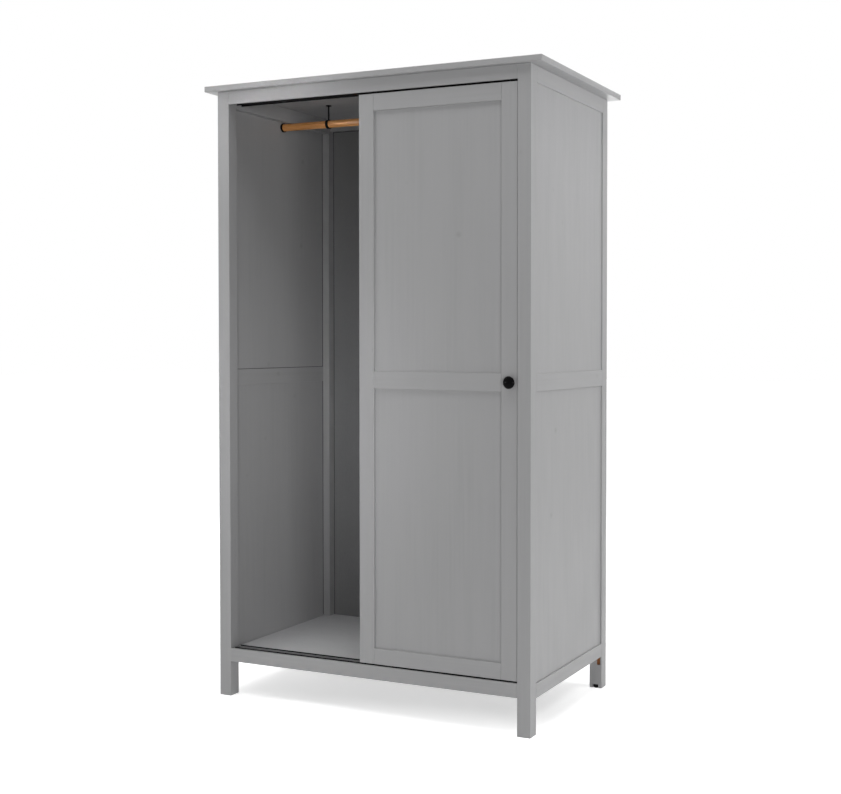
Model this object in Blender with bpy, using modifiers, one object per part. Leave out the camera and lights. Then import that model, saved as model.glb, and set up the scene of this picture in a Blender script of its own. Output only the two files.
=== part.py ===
"""A tall wardrobe in grey painted pine with two sliding doors.

The body is a post-and-rail frame with recessed side panels. The doors run
one behind the other on rollers in a lower track and are guided by an upper
track. Both doors stand at the right, so the left half of the hanging space
is open. Metres, +Z up, the front faces -Y, the origin is on the floor under
the middle of the top.
"""

from math import cos, pi, radians, sin

import bmesh
import bpy
from mathutils import Vector

# Overall size
WIDTH = 1.200
DEPTH = 0.616
HEIGHT = 1.970
TOP_THICKNESS = 0.018
SIDE_OVERHANG = 0.040
FRONT_OVERHANG = 0.016
BACK_OVERHANG = 0.018
CLEARANCE = 0.0003
EDGE = 0.0010
TOP_EDGE = 0.0015

# Posts and the grooves that hold the panels
POST_WIDTH = 0.0435
POST_DEPTH = 0.039
TONGUE = 0.008
GROOVE_SPARE = 0.001
GROOVE_RUNOUT = 0.029

# Side frames
SIDE_RAIL_THICKNESS = 0.018
SIDE_TOP_RAIL_HEIGHT = 0.048
SIDE_MID_RAIL_HEIGHT = 0.052
SIDE_MID_RAIL_LEVEL = 1.006
SIDE_BOTTOM_RAIL_HEIGHT = 0.043
SIDE_BOTTOM_RAIL_DROP = 0.006
SIDE_PANEL_THICKNESS = 0.011
SIDE_PANEL_RECESS = 0.005

# Front rails and the floor of the hanging space
LEG_HEIGHT = 0.113
FRONT_TOP_RAIL_HEIGHT = 0.0415
TRACK_BED_THICKNESS = 0.0187
TRACK_BED_MARGIN = 0.004
UPPER_TRACK_LIP = 0.006
FRONT_BOTTOM_RAIL_HEIGHT = 0.0425
FRONT_RAIL_THICKNESS = 0.019
LOWER_TRACK_LIP = 0.007
FLOOR_THICKNESS = 0.013
FLOOR_REBATE = 0.001
FLOOR_LEDGE = 0.013

# Back
BACK_RAIL_THICKNESS = 0.019
BACK_TOP_RAIL_HEIGHT = 0.038
BACK_BOTTOM_RAIL_HEIGHT = 0.024
BACK_PANEL_THICKNESS = 0.004
BACK_PANEL_SETBACK = 0.0065
STRIP_WIDTH = 0.024
STRIP_FLANGE = 0.0012
STRIP_WEB = 0.0028

# Doors
DOOR_THICKNESS = 0.022
DOOR_SETBACK = 0.004
DOOR_SPACING = 0.006
DOOR_OVERLAP = 0.052
DOOR_SIDE_GAP = 0.0025
DOOR_TOP_GAP = 0.006
DOOR_BOTTOM_GAP = 0.005
STILE_WIDTH = 0.052
DOOR_TOP_RAIL_HEIGHT = 0.0515
DOOR_MID_RAIL_HEIGHT = 0.0525
DOOR_MID_RAIL_LEVEL = 1.007
DOOR_BOTTOM_RAIL_HEIGHT = 0.0485
DOOR_PANEL_THICKNESS = 0.007
DOOR_PANEL_RECESS = 0.007

# Tracks, guides and rollers
UPPER_TRACK_HEIGHT = 0.0215
UPPER_TRACK_WALL = 0.0022
UPPER_TRACK_BASE = 0.0025
UPPER_TRACK_MIDDLE = 0.005
TRACK_END_GAP = 0.011
LOWER_TRACK_THICKNESS = 0.0106
LOWER_GROOVE_WIDTH = 0.010
LOWER_GROOVE_DEPTH = 0.0035
GUIDE_LENGTH = 0.036
GUIDE_PLATE_WIDTH = 0.016
GUIDE_PLATE_THICKNESS = 0.0016
GUIDE_TONGUE = 0.008
GUIDE_HEADROOM = 0.005
GUIDE_INSET = 0.045
ROLLER_RADIUS = 0.014
ROLLER_WIDTH = 0.007
ROLLER_INSET = 0.045
ROLLER_ROOM = 0.001
AXLE_RADIUS = 0.002
AXLE_LENGTH = 0.016

# Pulls
KNOB_INSET = 0.021
KNOB_RADIUS = 0.0185
KNOB_PROJECTION = 0.0195
KNOB_RIM = 0.0125
KNOB_TUCK = 0.0075
KNOB_NECK_RADIUS = 0.0085
KNOB_NECK_LENGTH = 0.0031
KNOB_FOOT_HEIGHT = 0.0012
KNOB_FOOT_RADIUS = 0.0105
CUP_RADIUS = 0.0152
CUP_WALL = 0.0015
CUP_DEPTH = 0.011
CUP_FLANGE_RADIUS = 0.0185
CUP_FLANGE = 0.0012

# Clothes rod and what carries it
ROD_RADIUS = 0.0125
SOCKET_WALL = 0.0022
SOCKET_LENGTH = 0.008
SOCKET_BASE = 0.0025
HANGER_SPACING = 0.708
HANGER_WIDTH = 0.010
HANGER_WALL = 0.0024
HANGER_STEM_RADIUS = 0.0025
HANGER_FLANGE_RADIUS = 0.010
HANGER_FLANGE = 0.0025

# Levelling feet
FOOT_RADIUS = 0.0097
FOOT_HEIGHT = 0.0118
FOOT_ROOM = 0.0006
FOOT_INSET = 0.001
FOOT_STEM_RADIUS = 0.004
FOOT_STEM_LENGTH = 0.018

# Planes and levels that follow from the sizes
HALF_BODY = WIDTH / 2 - SIDE_OVERHANG
INNER = HALF_BODY - POST_WIDTH
FRONT = -DEPTH / 2 + FRONT_OVERHANG
BACK = DEPTH / 2 - BACK_OVERHANG
CEILING = HEIGHT - TOP_THICKNESS
FRAME_TOP = CEILING - CLEARANCE
GROOVE = TONGUE + GROOVE_SPARE
POST_BACK = FRONT + POST_DEPTH
POST_FRONT = BACK - POST_DEPTH
SIDE_PANEL_OUT = HALF_BODY - SIDE_PANEL_RECESS
SIDE_PANEL_IN = SIDE_PANEL_OUT - SIDE_PANEL_THICKNESS
SIDE_TOP_RAIL_LEVEL = FRAME_TOP - SIDE_TOP_RAIL_HEIGHT
SIDE_BOTTOM_RAIL_LEVEL = LEG_HEIGHT - SIDE_BOTTOM_RAIL_DROP
RAIL_LOWER_EDGE = FRAME_TOP - FRONT_TOP_RAIL_HEIGHT
SILL = LEG_HEIGHT + FRONT_BOTTOM_RAIL_HEIGHT
TRACK_SEAT = SILL - LOWER_TRACK_THICKNESS
FLOOR_TOP = TRACK_SEAT - CLEARANCE + FLOOR_REBATE
FLOOR_BOTTOM = FLOOR_TOP - FLOOR_THICKNESS
BACK_FACE = BACK - BACK_PANEL_SETBACK - BACK_PANEL_THICKNESS
BACK_RAIL = (BACK_FACE - CLEARANCE - BACK_RAIL_THICKNESS, BACK_FACE - CLEARANCE)
STRIP_PROUD = CLEARANCE + STRIP_FLANGE
BACK_TOP_LEVEL = FRAME_TOP - BACK_TOP_RAIL_HEIGHT
BACK_BOTTOM_LEVEL = FLOOR_BOTTOM - CLEARANCE - BACK_BOTTOM_RAIL_HEIGHT
DOOR_RIGHT = INNER - DOOR_SIDE_GAP
DOOR_WIDTH = INNER - DOOR_SIDE_GAP + DOOR_OVERLAP / 2
DOOR_LEFT = DOOR_RIGHT - DOOR_WIDTH
STILE_LEFT_IN = DOOR_LEFT + STILE_WIDTH
STILE_RIGHT_IN = DOOR_RIGHT - STILE_WIDTH
DOOR_TOP = RAIL_LOWER_EDGE - DOOR_TOP_GAP
DOOR_BOTTOM = SILL + DOOR_BOTTOM_GAP
DOOR_FRONTS = (FRONT + DOOR_SETBACK, FRONT + DOOR_SETBACK + DOOR_THICKNESS + DOOR_SPACING)
DOOR_MIDDLE = FRONT + DOOR_SETBACK + DOOR_THICKNESS + DOOR_SPACING / 2
UPPER_TRACK_FRONT = FRONT + UPPER_TRACK_LIP + CLEARANCE
UPPER_TRACK_BACK = 2 * DOOR_MIDDLE - UPPER_TRACK_FRONT
UPPER_TRACK_TOP = FRAME_TOP - TRACK_BED_THICKNESS - CLEARANCE
UPPER_CHANNEL_TOP = UPPER_TRACK_TOP - UPPER_TRACK_BASE
LOWER_TRACK_FRONT = FRONT + LOWER_TRACK_LIP + CLEARANCE
LOWER_TRACK_BACK = 2 * DOOR_MIDDLE - LOWER_TRACK_FRONT
GROOVE_FLOOR = SILL - LOWER_GROOVE_DEPTH
ROLLER_LEVEL = GROOVE_FLOOR + CLEARANCE + ROLLER_RADIUS
ROD_LEVEL = SIDE_TOP_RAIL_LEVEL - CLEARANCE - SOCKET_WALL - CLEARANCE - ROD_RADIUS
ROD_DEPTH = (DOOR_FRONTS[1] + DOOR_THICKNESS + BACK_FACE) / 2
LEG_MIDDLE = (INNER + HALF_BODY) / 2
PAST = 0.01
HANDS = (("left", -1), ("right", 1))
ALONG_X = (0.0, pi / 2, 0.0)
FACING_FRONT = (pi / 2, 0.0, 0.0)

# Colours as linear red, green, blue, then roughness and metallic
FINISHES = {
    "paint": ((0.335, 0.335, 0.337), 0.45, 0.0),
    "board": ((0.300, 0.300, 0.302), 0.60, 0.0),
    "rod_wood": ((0.560, 0.270, 0.095), 0.50, 0.0),
    "track_plastic": ((0.012, 0.012, 0.013), 0.45, 0.0),
    "knob_gloss": ((0.006, 0.006, 0.007), 0.18, 0.0),
    "roller_plastic": ((0.032, 0.032, 0.033), 0.45, 0.0),
}


def collection(name):
    """A new collection in the scene."""
    group = bpy.data.collections.new(name)
    bpy.context.scene.collection.children.link(group)
    return group


def material(name, kind):
    """A material of its own for one piece."""
    colour, roughness, metallic = FINISHES[kind]
    made = bpy.data.materials.new(name)
    made.use_nodes = True
    shader = made.node_tree.nodes["Principled BSDF"]
    shader.inputs["Base Color"].default_value = (*colour, 1.0)
    shader.inputs["Roughness"].default_value = roughness
    shader.inputs["Metallic"].default_value = metallic
    return made


def add_object(name, mesh, kind, location, rotation=(0.0, 0.0, 0.0)):
    """A piece of the wardrobe, placed by its location and rotation."""
    piece = bpy.data.objects.new(name, mesh)
    piece.location = location
    piece.rotation_euler = rotation
    mesh.materials.append(material(name, kind))
    PARTS.objects.link(piece)
    return piece


def block_mesh(name, x, y, z):
    """A cube between two limits on each axis, and its centre."""
    size = (x[1] - x[0], y[1] - y[0], z[1] - z[0])
    mesh = bpy.data.meshes.new(name)
    bm = bmesh.new()
    bmesh.ops.create_cube(bm, size=1.0)
    bmesh.ops.scale(bm, vec=size, verts=bm.verts)
    bm.to_mesh(mesh)
    bm.free()
    return mesh, Vector((sum(x) / 2, sum(y) / 2, sum(z) / 2))


def round_mesh(name, radius, length, sides=32):
    """A cylinder along Z about its own centre."""
    mesh = bpy.data.meshes.new(name)
    bm = bmesh.new()
    bmesh.ops.create_cone(bm, cap_ends=True, segments=sides, radius1=radius, radius2=radius, depth=length)
    bm.to_mesh(mesh)
    bm.free()
    mesh.shade_smooth()
    mesh.set_sharp_from_angle(angle=radians(40))
    return mesh


def block(name, x, y, z, kind, edge=0.0):
    """A wooden or moulded block, with its edges eased when edge is given."""
    mesh, centre = block_mesh(name, x, y, z)
    piece = add_object(name, mesh, kind, centre)
    if edge:
        bevel = piece.modifiers.new("eased edges", "BEVEL")
        bevel.width = edge
        bevel.segments = 2
    return piece


def turned(name, profile, kind, location, rotation=(0.0, 0.0, 0.0), steps=32):
    """A turned piece: a profile of radius and height, top to bottom, spun about Z."""
    mesh = bpy.data.meshes.new(name)
    points = [(radius, 0.0, height) for radius, height in profile]
    mesh.from_pydata(points, [(i, i + 1) for i in range(len(points) - 1)], [])
    piece = add_object(name, mesh, kind, location, rotation)
    screw = piece.modifiers.new("turned", "SCREW")
    screw.steps = screw.render_steps = steps
    screw.use_merge_vertices = True
    screw.merge_threshold = 0.00001
    return piece


def combine(piece, tool, operation):
    """Cuts a piece with a tool or joins the tool to it."""
    tool.hide_render = True
    tool.display_type = "WIRE"
    CUTTERS.objects.link(tool)
    step = piece.modifiers.new(operation.lower(), "BOOLEAN")
    step.operation = operation
    step.solver = "EXACT"
    step.object = tool


def cut(piece, x, y, z):
    """Takes a block out of a piece."""
    mesh, centre = block_mesh("block_tool", x, y, z)
    tool = bpy.data.objects.new("block_tool", mesh)
    tool.location = centre
    combine(piece, tool, "DIFFERENCE")


def join(piece, x, y, z):
    """Adds a block to a piece."""
    mesh, centre = block_mesh("block_tool", x, y, z)
    tool = bpy.data.objects.new("block_tool", mesh)
    tool.location = centre
    combine(piece, tool, "UNION")


def round_tool(piece, centre, radius, length, operation, rotation=(0.0, 0.0, 0.0), sides=32):
    """Bores a round hole in a piece, or joins a round bar to it."""
    tool = bpy.data.objects.new("round_tool", round_mesh("round_tool", radius, length, sides))
    tool.location = centre
    tool.rotation_euler = rotation
    combine(piece, tool, operation)


def anchor(name, location):
    """An empty that carries the pieces of one moving body."""
    empty = bpy.data.objects.new(name, None)
    empty.location = location
    PARTS.objects.link(empty)
    return empty


def carry(empty, piece):
    """Parents a piece to an empty and keeps it in place."""
    piece.parent = empty
    piece.location = piece.location - empty.location


def at_side(side, low, high):
    """Limits across the width, mirrored to the left for side -1."""
    return (low, high) if side > 0 else (-high, -low)


def make_post(name, side, rear):
    """One post: the side panel's groove, the back board's groove and the foot's notch are cut in."""
    depth = (POST_FRONT, BACK) if rear else (FRONT, POST_BACK)
    post = block(name, at_side(side, INNER, HALF_BODY), depth, (0.0, FRAME_TOP), "paint", EDGE)
    groove_x = at_side(side, SIDE_PANEL_IN - CLEARANCE, SIDE_PANEL_OUT + CLEARANCE)
    groove_y = (POST_FRONT - PAST, POST_FRONT + GROOVE) if rear else (POST_BACK - GROOVE, POST_BACK + PAST)
    cut(post, groove_x, groove_y, (SIDE_BOTTOM_RAIL_LEVEL - GROOVE_RUNOUT, HEIGHT))
    if rear:
        back_y = (BACK_FACE - CLEARANCE, BACK_FACE + BACK_PANEL_THICKNESS + CLEARANCE)
        back_z = (BACK_BOTTOM_LEVEL - GROOVE_SPARE, HEIGHT)
        cut(post, at_side(side, INNER - PAST, INNER + GROOVE), back_y, back_z)
    middle = side * LEG_MIDDLE
    foot_y = foot_depth(rear)
    reach = FOOT_RADIUS + FOOT_ROOM
    notch_y = (POST_FRONT - PAST, foot_y + reach) if rear else (foot_y - reach, POST_BACK + PAST)
    cut(post, (middle - reach, middle + reach), notch_y, (-PAST, FOOT_HEIGHT + FOOT_ROOM))
    hole = FOOT_STEM_LENGTH + GROOVE_SPARE + FOOT_ROOM
    hole_centre = (middle, foot_y, FOOT_HEIGHT + hole / 2)
    round_tool(post, hole_centre, FOOT_STEM_RADIUS + CLEARANCE, hole, "DIFFERENCE", sides=24)


def foot_depth(rear):
    """Where a levelling foot's axis stands from front to back."""
    return POST_FRONT + FOOT_INSET + FOOT_RADIUS if rear else POST_BACK - FOOT_INSET - FOOT_RADIUS


def make_foot(name, side, rear):
    """A levelling foot: a wheel in the leg's notch on a stem in the leg."""
    top = FOOT_HEIGHT + FOOT_STEM_LENGTH
    stem = [(0.0, top), (FOOT_STEM_RADIUS, top), (FOOT_STEM_RADIUS, FOOT_HEIGHT)]
    wheel = [(FOOT_RADIUS, FOOT_HEIGHT), (FOOT_RADIUS, EDGE), (FOOT_RADIUS - EDGE, 0.0), (0.0, 0.0)]
    turned(name, stem + wheel, "track_plastic", (side * LEG_MIDDLE, foot_depth(rear), 0.0), steps=24)


def side_rail(name, side, low, high, inner, grooves):
    """A side rail with stub tenons at its ends and a panel groove on the edges named in grooves."""
    y = (POST_BACK + CLEARANCE, POST_FRONT - CLEARANCE)
    rail = block(name, at_side(side, inner, HALF_BODY), y, (low, high), "paint", EDGE)
    tenon = at_side(side, SIDE_PANEL_IN, SIDE_PANEL_OUT)
    edge_z = (low + 2 * EDGE, high - 2 * EDGE)
    join(rail, tenon, (y[0] - CLEARANCE - TONGUE, y[0] + PAST), edge_z)
    join(rail, tenon, (y[1] - PAST, y[1] + CLEARANCE + TONGUE), edge_z)
    slot = at_side(side, SIDE_PANEL_IN - CLEARANCE, SIDE_PANEL_OUT + CLEARANCE)
    run = (POST_BACK - GROOVE - PAST, POST_FRONT + GROOVE + PAST)
    if "upper" in grooves:
        cut(rail, slot, run, (high - GROOVE, high + PAST))
    if "lower" in grooves:
        cut(rail, slot, run, (low - PAST, low + GROOVE))


def make_side(hand, side):
    """The rails and panels of one side frame."""
    bottom = (SIDE_BOTTOM_RAIL_LEVEL, SIDE_BOTTOM_RAIL_LEVEL + SIDE_BOTTOM_RAIL_HEIGHT)
    middle = (SIDE_MID_RAIL_LEVEL, SIDE_MID_RAIL_LEVEL + SIDE_MID_RAIL_HEIGHT)
    top = (SIDE_TOP_RAIL_LEVEL, FRAME_TOP)
    thin = HALF_BODY - SIDE_RAIL_THICKNESS
    side_rail(hand + "_side_bottom_rail", side, *bottom, thin, ("upper",))
    side_rail(hand + "_side_middle_rail", side, *middle, thin, ("upper", "lower"))
    side_rail(hand + "_side_top_rail", side, *top, INNER, ("lower",))
    x = at_side(side, SIDE_PANEL_IN, SIDE_PANEL_OUT)
    y = (POST_BACK - TONGUE, POST_FRONT + TONGUE)
    block(hand + "_side_lower_panel", x, y, (bottom[1] - TONGUE, middle[0] + TONGUE), "paint")
    block(hand + "_side_upper_panel", x, y, (middle[1] - TONGUE, top[0] + TONGUE), "paint")


def make_front_rails():
    """The front rails, each with the rebate that its track lies in."""
    x = (-INNER + CLEARANCE, INNER - CLEARANCE)
    bed_back = UPPER_TRACK_BACK + TRACK_BED_MARGIN
    rail = block("front_top_rail", x, (FRONT, bed_back), (RAIL_LOWER_EDGE, FRAME_TOP), "paint", EDGE)
    past_x = (x[0] - PAST, x[1] + PAST)
    bed_z = (RAIL_LOWER_EDGE - PAST, FRAME_TOP - TRACK_BED_THICKNESS)
    cut(rail, past_x, (FRONT + UPPER_TRACK_LIP, bed_back + PAST), bed_z)
    ledge_back = FRONT + FRONT_RAIL_THICKNESS + FLOOR_LEDGE
    sill = block("front_bottom_rail", x, (FRONT, ledge_back), (LEG_HEIGHT, SILL), "paint", EDGE)
    cut(sill, past_x, (FRONT + LOWER_TRACK_LIP, ledge_back + PAST), (TRACK_SEAT - CLEARANCE, SILL + PAST))
    floor_z = (FLOOR_BOTTOM - CLEARANCE, SILL + PAST)
    cut(sill, past_x, (FRONT + FRONT_RAIL_THICKNESS, ledge_back + PAST), floor_z)


def make_tracks():
    """The upper double channel and the lower strip with its two grooves."""
    end = INNER - TRACK_END_GAP
    upper = block("upper_track", (-end, end), (UPPER_TRACK_FRONT, UPPER_TRACK_BACK),
                  (UPPER_TRACK_TOP - UPPER_TRACK_HEIGHT, UPPER_TRACK_TOP), "track_plastic")
    past_x = (-end - PAST, end + PAST)
    channel_z = (UPPER_TRACK_TOP - UPPER_TRACK_HEIGHT - PAST, UPPER_CHANNEL_TOP)
    half = UPPER_TRACK_MIDDLE / 2
    cut(upper, past_x, (UPPER_TRACK_FRONT + UPPER_TRACK_WALL, DOOR_MIDDLE - half), channel_z)
    cut(upper, past_x, (DOOR_MIDDLE + half, UPPER_TRACK_BACK - UPPER_TRACK_WALL), channel_z)
    end = INNER - CLEARANCE
    lower = block("lower_track", (-end, end), (LOWER_TRACK_FRONT, LOWER_TRACK_BACK), (TRACK_SEAT, SILL),
                  "track_plastic")
    for front in DOOR_FRONTS:
        line = front + DOOR_THICKNESS / 2
        groove = (line - LOWER_GROOVE_WIDTH / 2, line + LOWER_GROOVE_WIDTH / 2)
        cut(lower, (-end - PAST, end + PAST), groove, (GROOVE_FLOOR, SILL + PAST))


def make_floor_and_top():
    """The bottom panel, rebated for the lower track and notched round the posts, and the top panel."""
    edge_x = HALF_BODY - SIDE_RAIL_THICKNESS - CLEARANCE
    y = (FRONT + FRONT_RAIL_THICKNESS + CLEARANCE, BACK_FACE - STRIP_PROUD - CLEARANCE)
    floor = block("bottom_panel", (-edge_x, edge_x), y, (FLOOR_BOTTOM, FLOOR_TOP), "board")
    rebate_z = (FLOOR_TOP - FLOOR_REBATE, FLOOR_TOP + PAST)
    cut(floor, (-HALF_BODY, HALF_BODY), (FRONT, LOWER_TRACK_BACK + CLEARANCE), rebate_z)
    for side in (-1, 1):
        corner = at_side(side, INNER - CLEARANCE, HALF_BODY)
        cut(floor, corner, (FRONT, POST_BACK + CLEARANCE), (FLOOR_BOTTOM - PAST, FLOOR_TOP + PAST))
        cut(floor, corner, (POST_FRONT - CLEARANCE, BACK), (FLOOR_BOTTOM - PAST, FLOOR_TOP + PAST))
    block("top_panel", (-WIDTH / 2, WIDTH / 2), (-DEPTH / 2, DEPTH / 2), (CEILING, HEIGHT), "paint", TOP_EDGE)


def make_back():
    """The back rails, the two back boards and the strip that joins them."""
    x = (-INNER + CLEARANCE, INNER - CLEARANCE)
    block("back_top_rail", x, BACK_RAIL, (BACK_TOP_LEVEL, FRAME_TOP), "paint", EDGE)
    block("back_bottom_rail", x, BACK_RAIL, (BACK_BOTTOM_LEVEL, FLOOR_BOTTOM - CLEARANCE), "paint", EDGE)
    inner_edge = STRIP_WEB / 2 + CLEARANCE
    depth = (BACK_FACE, BACK_FACE + BACK_PANEL_THICKNESS)
    board_z = (BACK_BOTTOM_LEVEL, FRAME_TOP)
    for hand, side in HANDS:
        block("back_board_" + hand, at_side(side, inner_edge, INNER + TONGUE), depth, board_z, "board")
    z = (FLOOR_BOTTOM, BACK_TOP_LEVEL - CLEARANCE)
    half = STRIP_WIDTH / 2
    across = (depth[0] - STRIP_PROUD, depth[1] + STRIP_PROUD)
    strip = block("back_joining_strip", (-half, half), across, z, "board")
    slot = (depth[0] - CLEARANCE, depth[1] + CLEARANCE)
    for side in (-1, 1):
        cut(strip, at_side(side, STRIP_WEB / 2, half + PAST), slot, (z[0] - PAST, z[1] + PAST))


def make_hanger(name, x):
    """A ring round the rod on a stem from a round flange under the top."""
    bore = ROD_RADIUS + CLEARANCE
    ring = bore + HANGER_WALL
    mesh = round_mesh(name, ring, HANGER_WIDTH)
    hanger = add_object(name, mesh, "track_plastic", (x, ROD_DEPTH, ROD_LEVEL), ALONG_X)
    low = ROD_LEVEL + (bore + ring) / 2
    flange = FRAME_TOP - HANGER_FLANGE / 2
    stem = flange - low
    round_tool(hanger, (x, ROD_DEPTH, low + stem / 2), HANGER_STEM_RADIUS, stem, "UNION", sides=16)
    round_tool(hanger, (x, ROD_DEPTH, flange), HANGER_FLANGE_RADIUS, HANGER_FLANGE, "UNION", sides=24)
    round_tool(hanger, (x, ROD_DEPTH, ROD_LEVEL), bore, HANGER_WIDTH + PAST, "DIFFERENCE", ALONG_X)


def make_rod():
    """The clothes rod, its end sockets and the hangers that carry it from the ceiling."""
    seat = SIDE_PANEL_IN - CLEARANCE
    rod_end = seat - SOCKET_BASE - CLEARANCE
    mesh = round_mesh("clothes_rod", ROD_RADIUS, 2 * rod_end)
    add_object("clothes_rod", mesh, "rod_wood", (0.0, ROD_DEPTH, ROD_LEVEL), ALONG_X)
    bore = ROD_RADIUS + CLEARANCE
    outer = bore + SOCKET_WALL
    cup = [(0.0, SOCKET_BASE), (bore, SOCKET_BASE), (bore, SOCKET_LENGTH)]
    shell = [(outer, SOCKET_LENGTH), (outer, 0.0), (0.0, 0.0)]
    for hand, side in HANDS:
        place = (side * seat, ROD_DEPTH, ROD_LEVEL)
        turned("rod_socket_" + hand, cup + shell, "track_plastic", place, (0.0, -side * pi / 2, 0.0))
        make_hanger("rod_hanger_" + hand, side * HANGER_SPACING / 2)


def knob_profile():
    """A low round knob: a domed face, a tucked-in back, a neck and a small foot."""
    crown = KNOB_PROJECTION - KNOB_RIM
    dome = [(KNOB_RADIUS * sin(a), KNOB_RIM + crown * cos(a)) for a in (radians(9 * i) for i in range(11))]
    lip = KNOB_RADIUS - KNOB_NECK_RADIUS
    turns = [radians(15 * i) for i in range(1, 7)]
    back = [(KNOB_NECK_RADIUS + lip * cos(a), KNOB_RIM - KNOB_TUCK * sin(a)) for a in turns]
    foot = [(KNOB_NECK_RADIUS, KNOB_NECK_LENGTH), (KNOB_FOOT_RADIUS, KNOB_FOOT_HEIGHT), (KNOB_FOOT_RADIUS, 0.0)]
    return dome + back + foot + [(0.0, 0.0)]


def cup_profile():
    """A flush cup with a thin flange; its height is counted from the stile's face."""
    floor = -CUP_DEPTH
    face = CLEARANCE + CUP_FLANGE
    inside = CUP_RADIUS - CUP_WALL
    return [(0.0, floor + CUP_WALL), (inside, floor + CUP_WALL), (inside, face), (CUP_FLANGE_RADIUS, face),
            (CUP_FLANGE_RADIUS, CLEARANCE), (CUP_RADIUS, CLEARANCE), (CUP_RADIUS, floor), (0.0, floor)]


def door_rail(name, front, low, high, grooves):
    """A door rail with stub tenons and the panel grooves named."""
    x = (STILE_LEFT_IN + CLEARANCE, STILE_RIGHT_IN - CLEARANCE)
    rail = block(name, x, (front, front + DOOR_THICKNESS), (low, high), "paint", EDGE)
    panel_y = (front + DOOR_PANEL_RECESS, front + DOOR_PANEL_RECESS + DOOR_PANEL_THICKNESS)
    edge_z = (low + 2 * EDGE, high - 2 * EDGE)
    join(rail, (x[0] - CLEARANCE - TONGUE, x[0] + PAST), panel_y, edge_z)
    join(rail, (x[1] - PAST, x[1] + CLEARANCE + TONGUE), panel_y, edge_z)
    slot = (panel_y[0] - CLEARANCE, panel_y[1] + CLEARANCE)
    run = (x[0] - GROOVE - PAST, x[1] + GROOVE + PAST)
    if "upper" in grooves:
        cut(rail, run, slot, (high - GROOVE, high + PAST))
    if "lower" in grooves:
        cut(rail, run, slot, (low - PAST, low + GROOVE))
    return rail


def door_frame(tag, front):
    """The stiles, rails and panels of one door; the stiles run its full height."""
    panel_y = (front + DOOR_PANEL_RECESS, front + DOOR_PANEL_RECESS + DOOR_PANEL_THICKNESS)
    slot = (panel_y[0] - CLEARANCE, panel_y[1] + CLEARANCE)
    past_z = (DOOR_BOTTOM - PAST, DOOR_TOP + PAST)
    y = (front, front + DOOR_THICKNESS)
    z = (DOOR_BOTTOM, DOOR_TOP)
    left = block(tag + "_door_left_stile", (DOOR_LEFT, STILE_LEFT_IN), y, z, "paint", EDGE)
    cut(left, (STILE_LEFT_IN - GROOVE, STILE_LEFT_IN + PAST), slot, past_z)
    right = block(tag + "_door_right_stile", (STILE_RIGHT_IN, DOOR_RIGHT), y, z, "paint", EDGE)
    cut(right, (STILE_RIGHT_IN - PAST, STILE_RIGHT_IN + GROOVE), slot, past_z)
    bottom = (DOOR_BOTTOM, DOOR_BOTTOM + DOOR_BOTTOM_RAIL_HEIGHT)
    middle = (DOOR_MID_RAIL_LEVEL, DOOR_MID_RAIL_LEVEL + DOOR_MID_RAIL_HEIGHT)
    top = (DOOR_TOP - DOOR_TOP_RAIL_HEIGHT, DOOR_TOP)
    low_rail = door_rail(tag + "_door_bottom_rail", front, *bottom, ("upper",))
    middle_rail = door_rail(tag + "_door_middle_rail", front, *middle, ("upper", "lower"))
    top_rail = door_rail(tag + "_door_top_rail", front, *top, ("lower",))
    panel_x = (STILE_LEFT_IN - TONGUE, STILE_RIGHT_IN + TONGUE)
    lower_z = (bottom[1] - TONGUE, middle[0] + TONGUE)
    upper_z = (middle[1] - TONGUE, top[0] + TONGUE)
    lower_panel = block(tag + "_door_lower_panel", panel_x, panel_y, lower_z, "paint")
    upper_panel = block(tag + "_door_upper_panel", panel_x, panel_y, upper_z, "paint")
    return left, low_rail, [right, middle_rail, top_rail, lower_panel, upper_panel]


def door_pull(tag, front, left_stile):
    """The front door's knob at its right, or the rear door's flush cup let into its left stile."""
    grip = DOOR_MID_RAIL_LEVEL + DOOR_MID_RAIL_HEIGHT / 2
    if tag == "front":
        place = (DOOR_RIGHT - KNOB_INSET, front - CLEARANCE, grip)
        return turned("front_door_knob", knob_profile(), "knob_gloss", place, FACING_FRONT, steps=40)
    place = (DOOR_LEFT + STILE_WIDTH / 2, front, grip)
    pocket = CUP_DEPTH + CLEARANCE + PAST
    centre = (place[0], front - PAST + pocket / 2, grip)
    round_tool(left_stile, centre, CUP_RADIUS + CLEARANCE, pocket, "DIFFERENCE", FACING_FRONT, sides=40)
    return turned("rear_door_cup_pull", cup_profile(), "track_plastic", place, FACING_FRONT, steps=40)


def door_guide(name, x, line):
    """A guide on the door's top edge, with the tongue that runs in the upper track."""
    plate = (DOOR_TOP + CLEARANCE, DOOR_TOP + CLEARANCE + GUIDE_PLATE_THICKNESS)
    half = GUIDE_LENGTH / 2
    y = (line - GUIDE_PLATE_WIDTH / 2, line + GUIDE_PLATE_WIDTH / 2)
    guide = block(name, (x - half, x + half), y, plate, "track_plastic")
    tongue_y = (line - GUIDE_TONGUE / 2, line + GUIDE_TONGUE / 2)
    tongue_z = (sum(plate) / 2, UPPER_CHANNEL_TOP - GUIDE_HEADROOM)
    join(guide, (x - half + EDGE, x + half - EDGE), tongue_y, tongue_z)
    return guide


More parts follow.
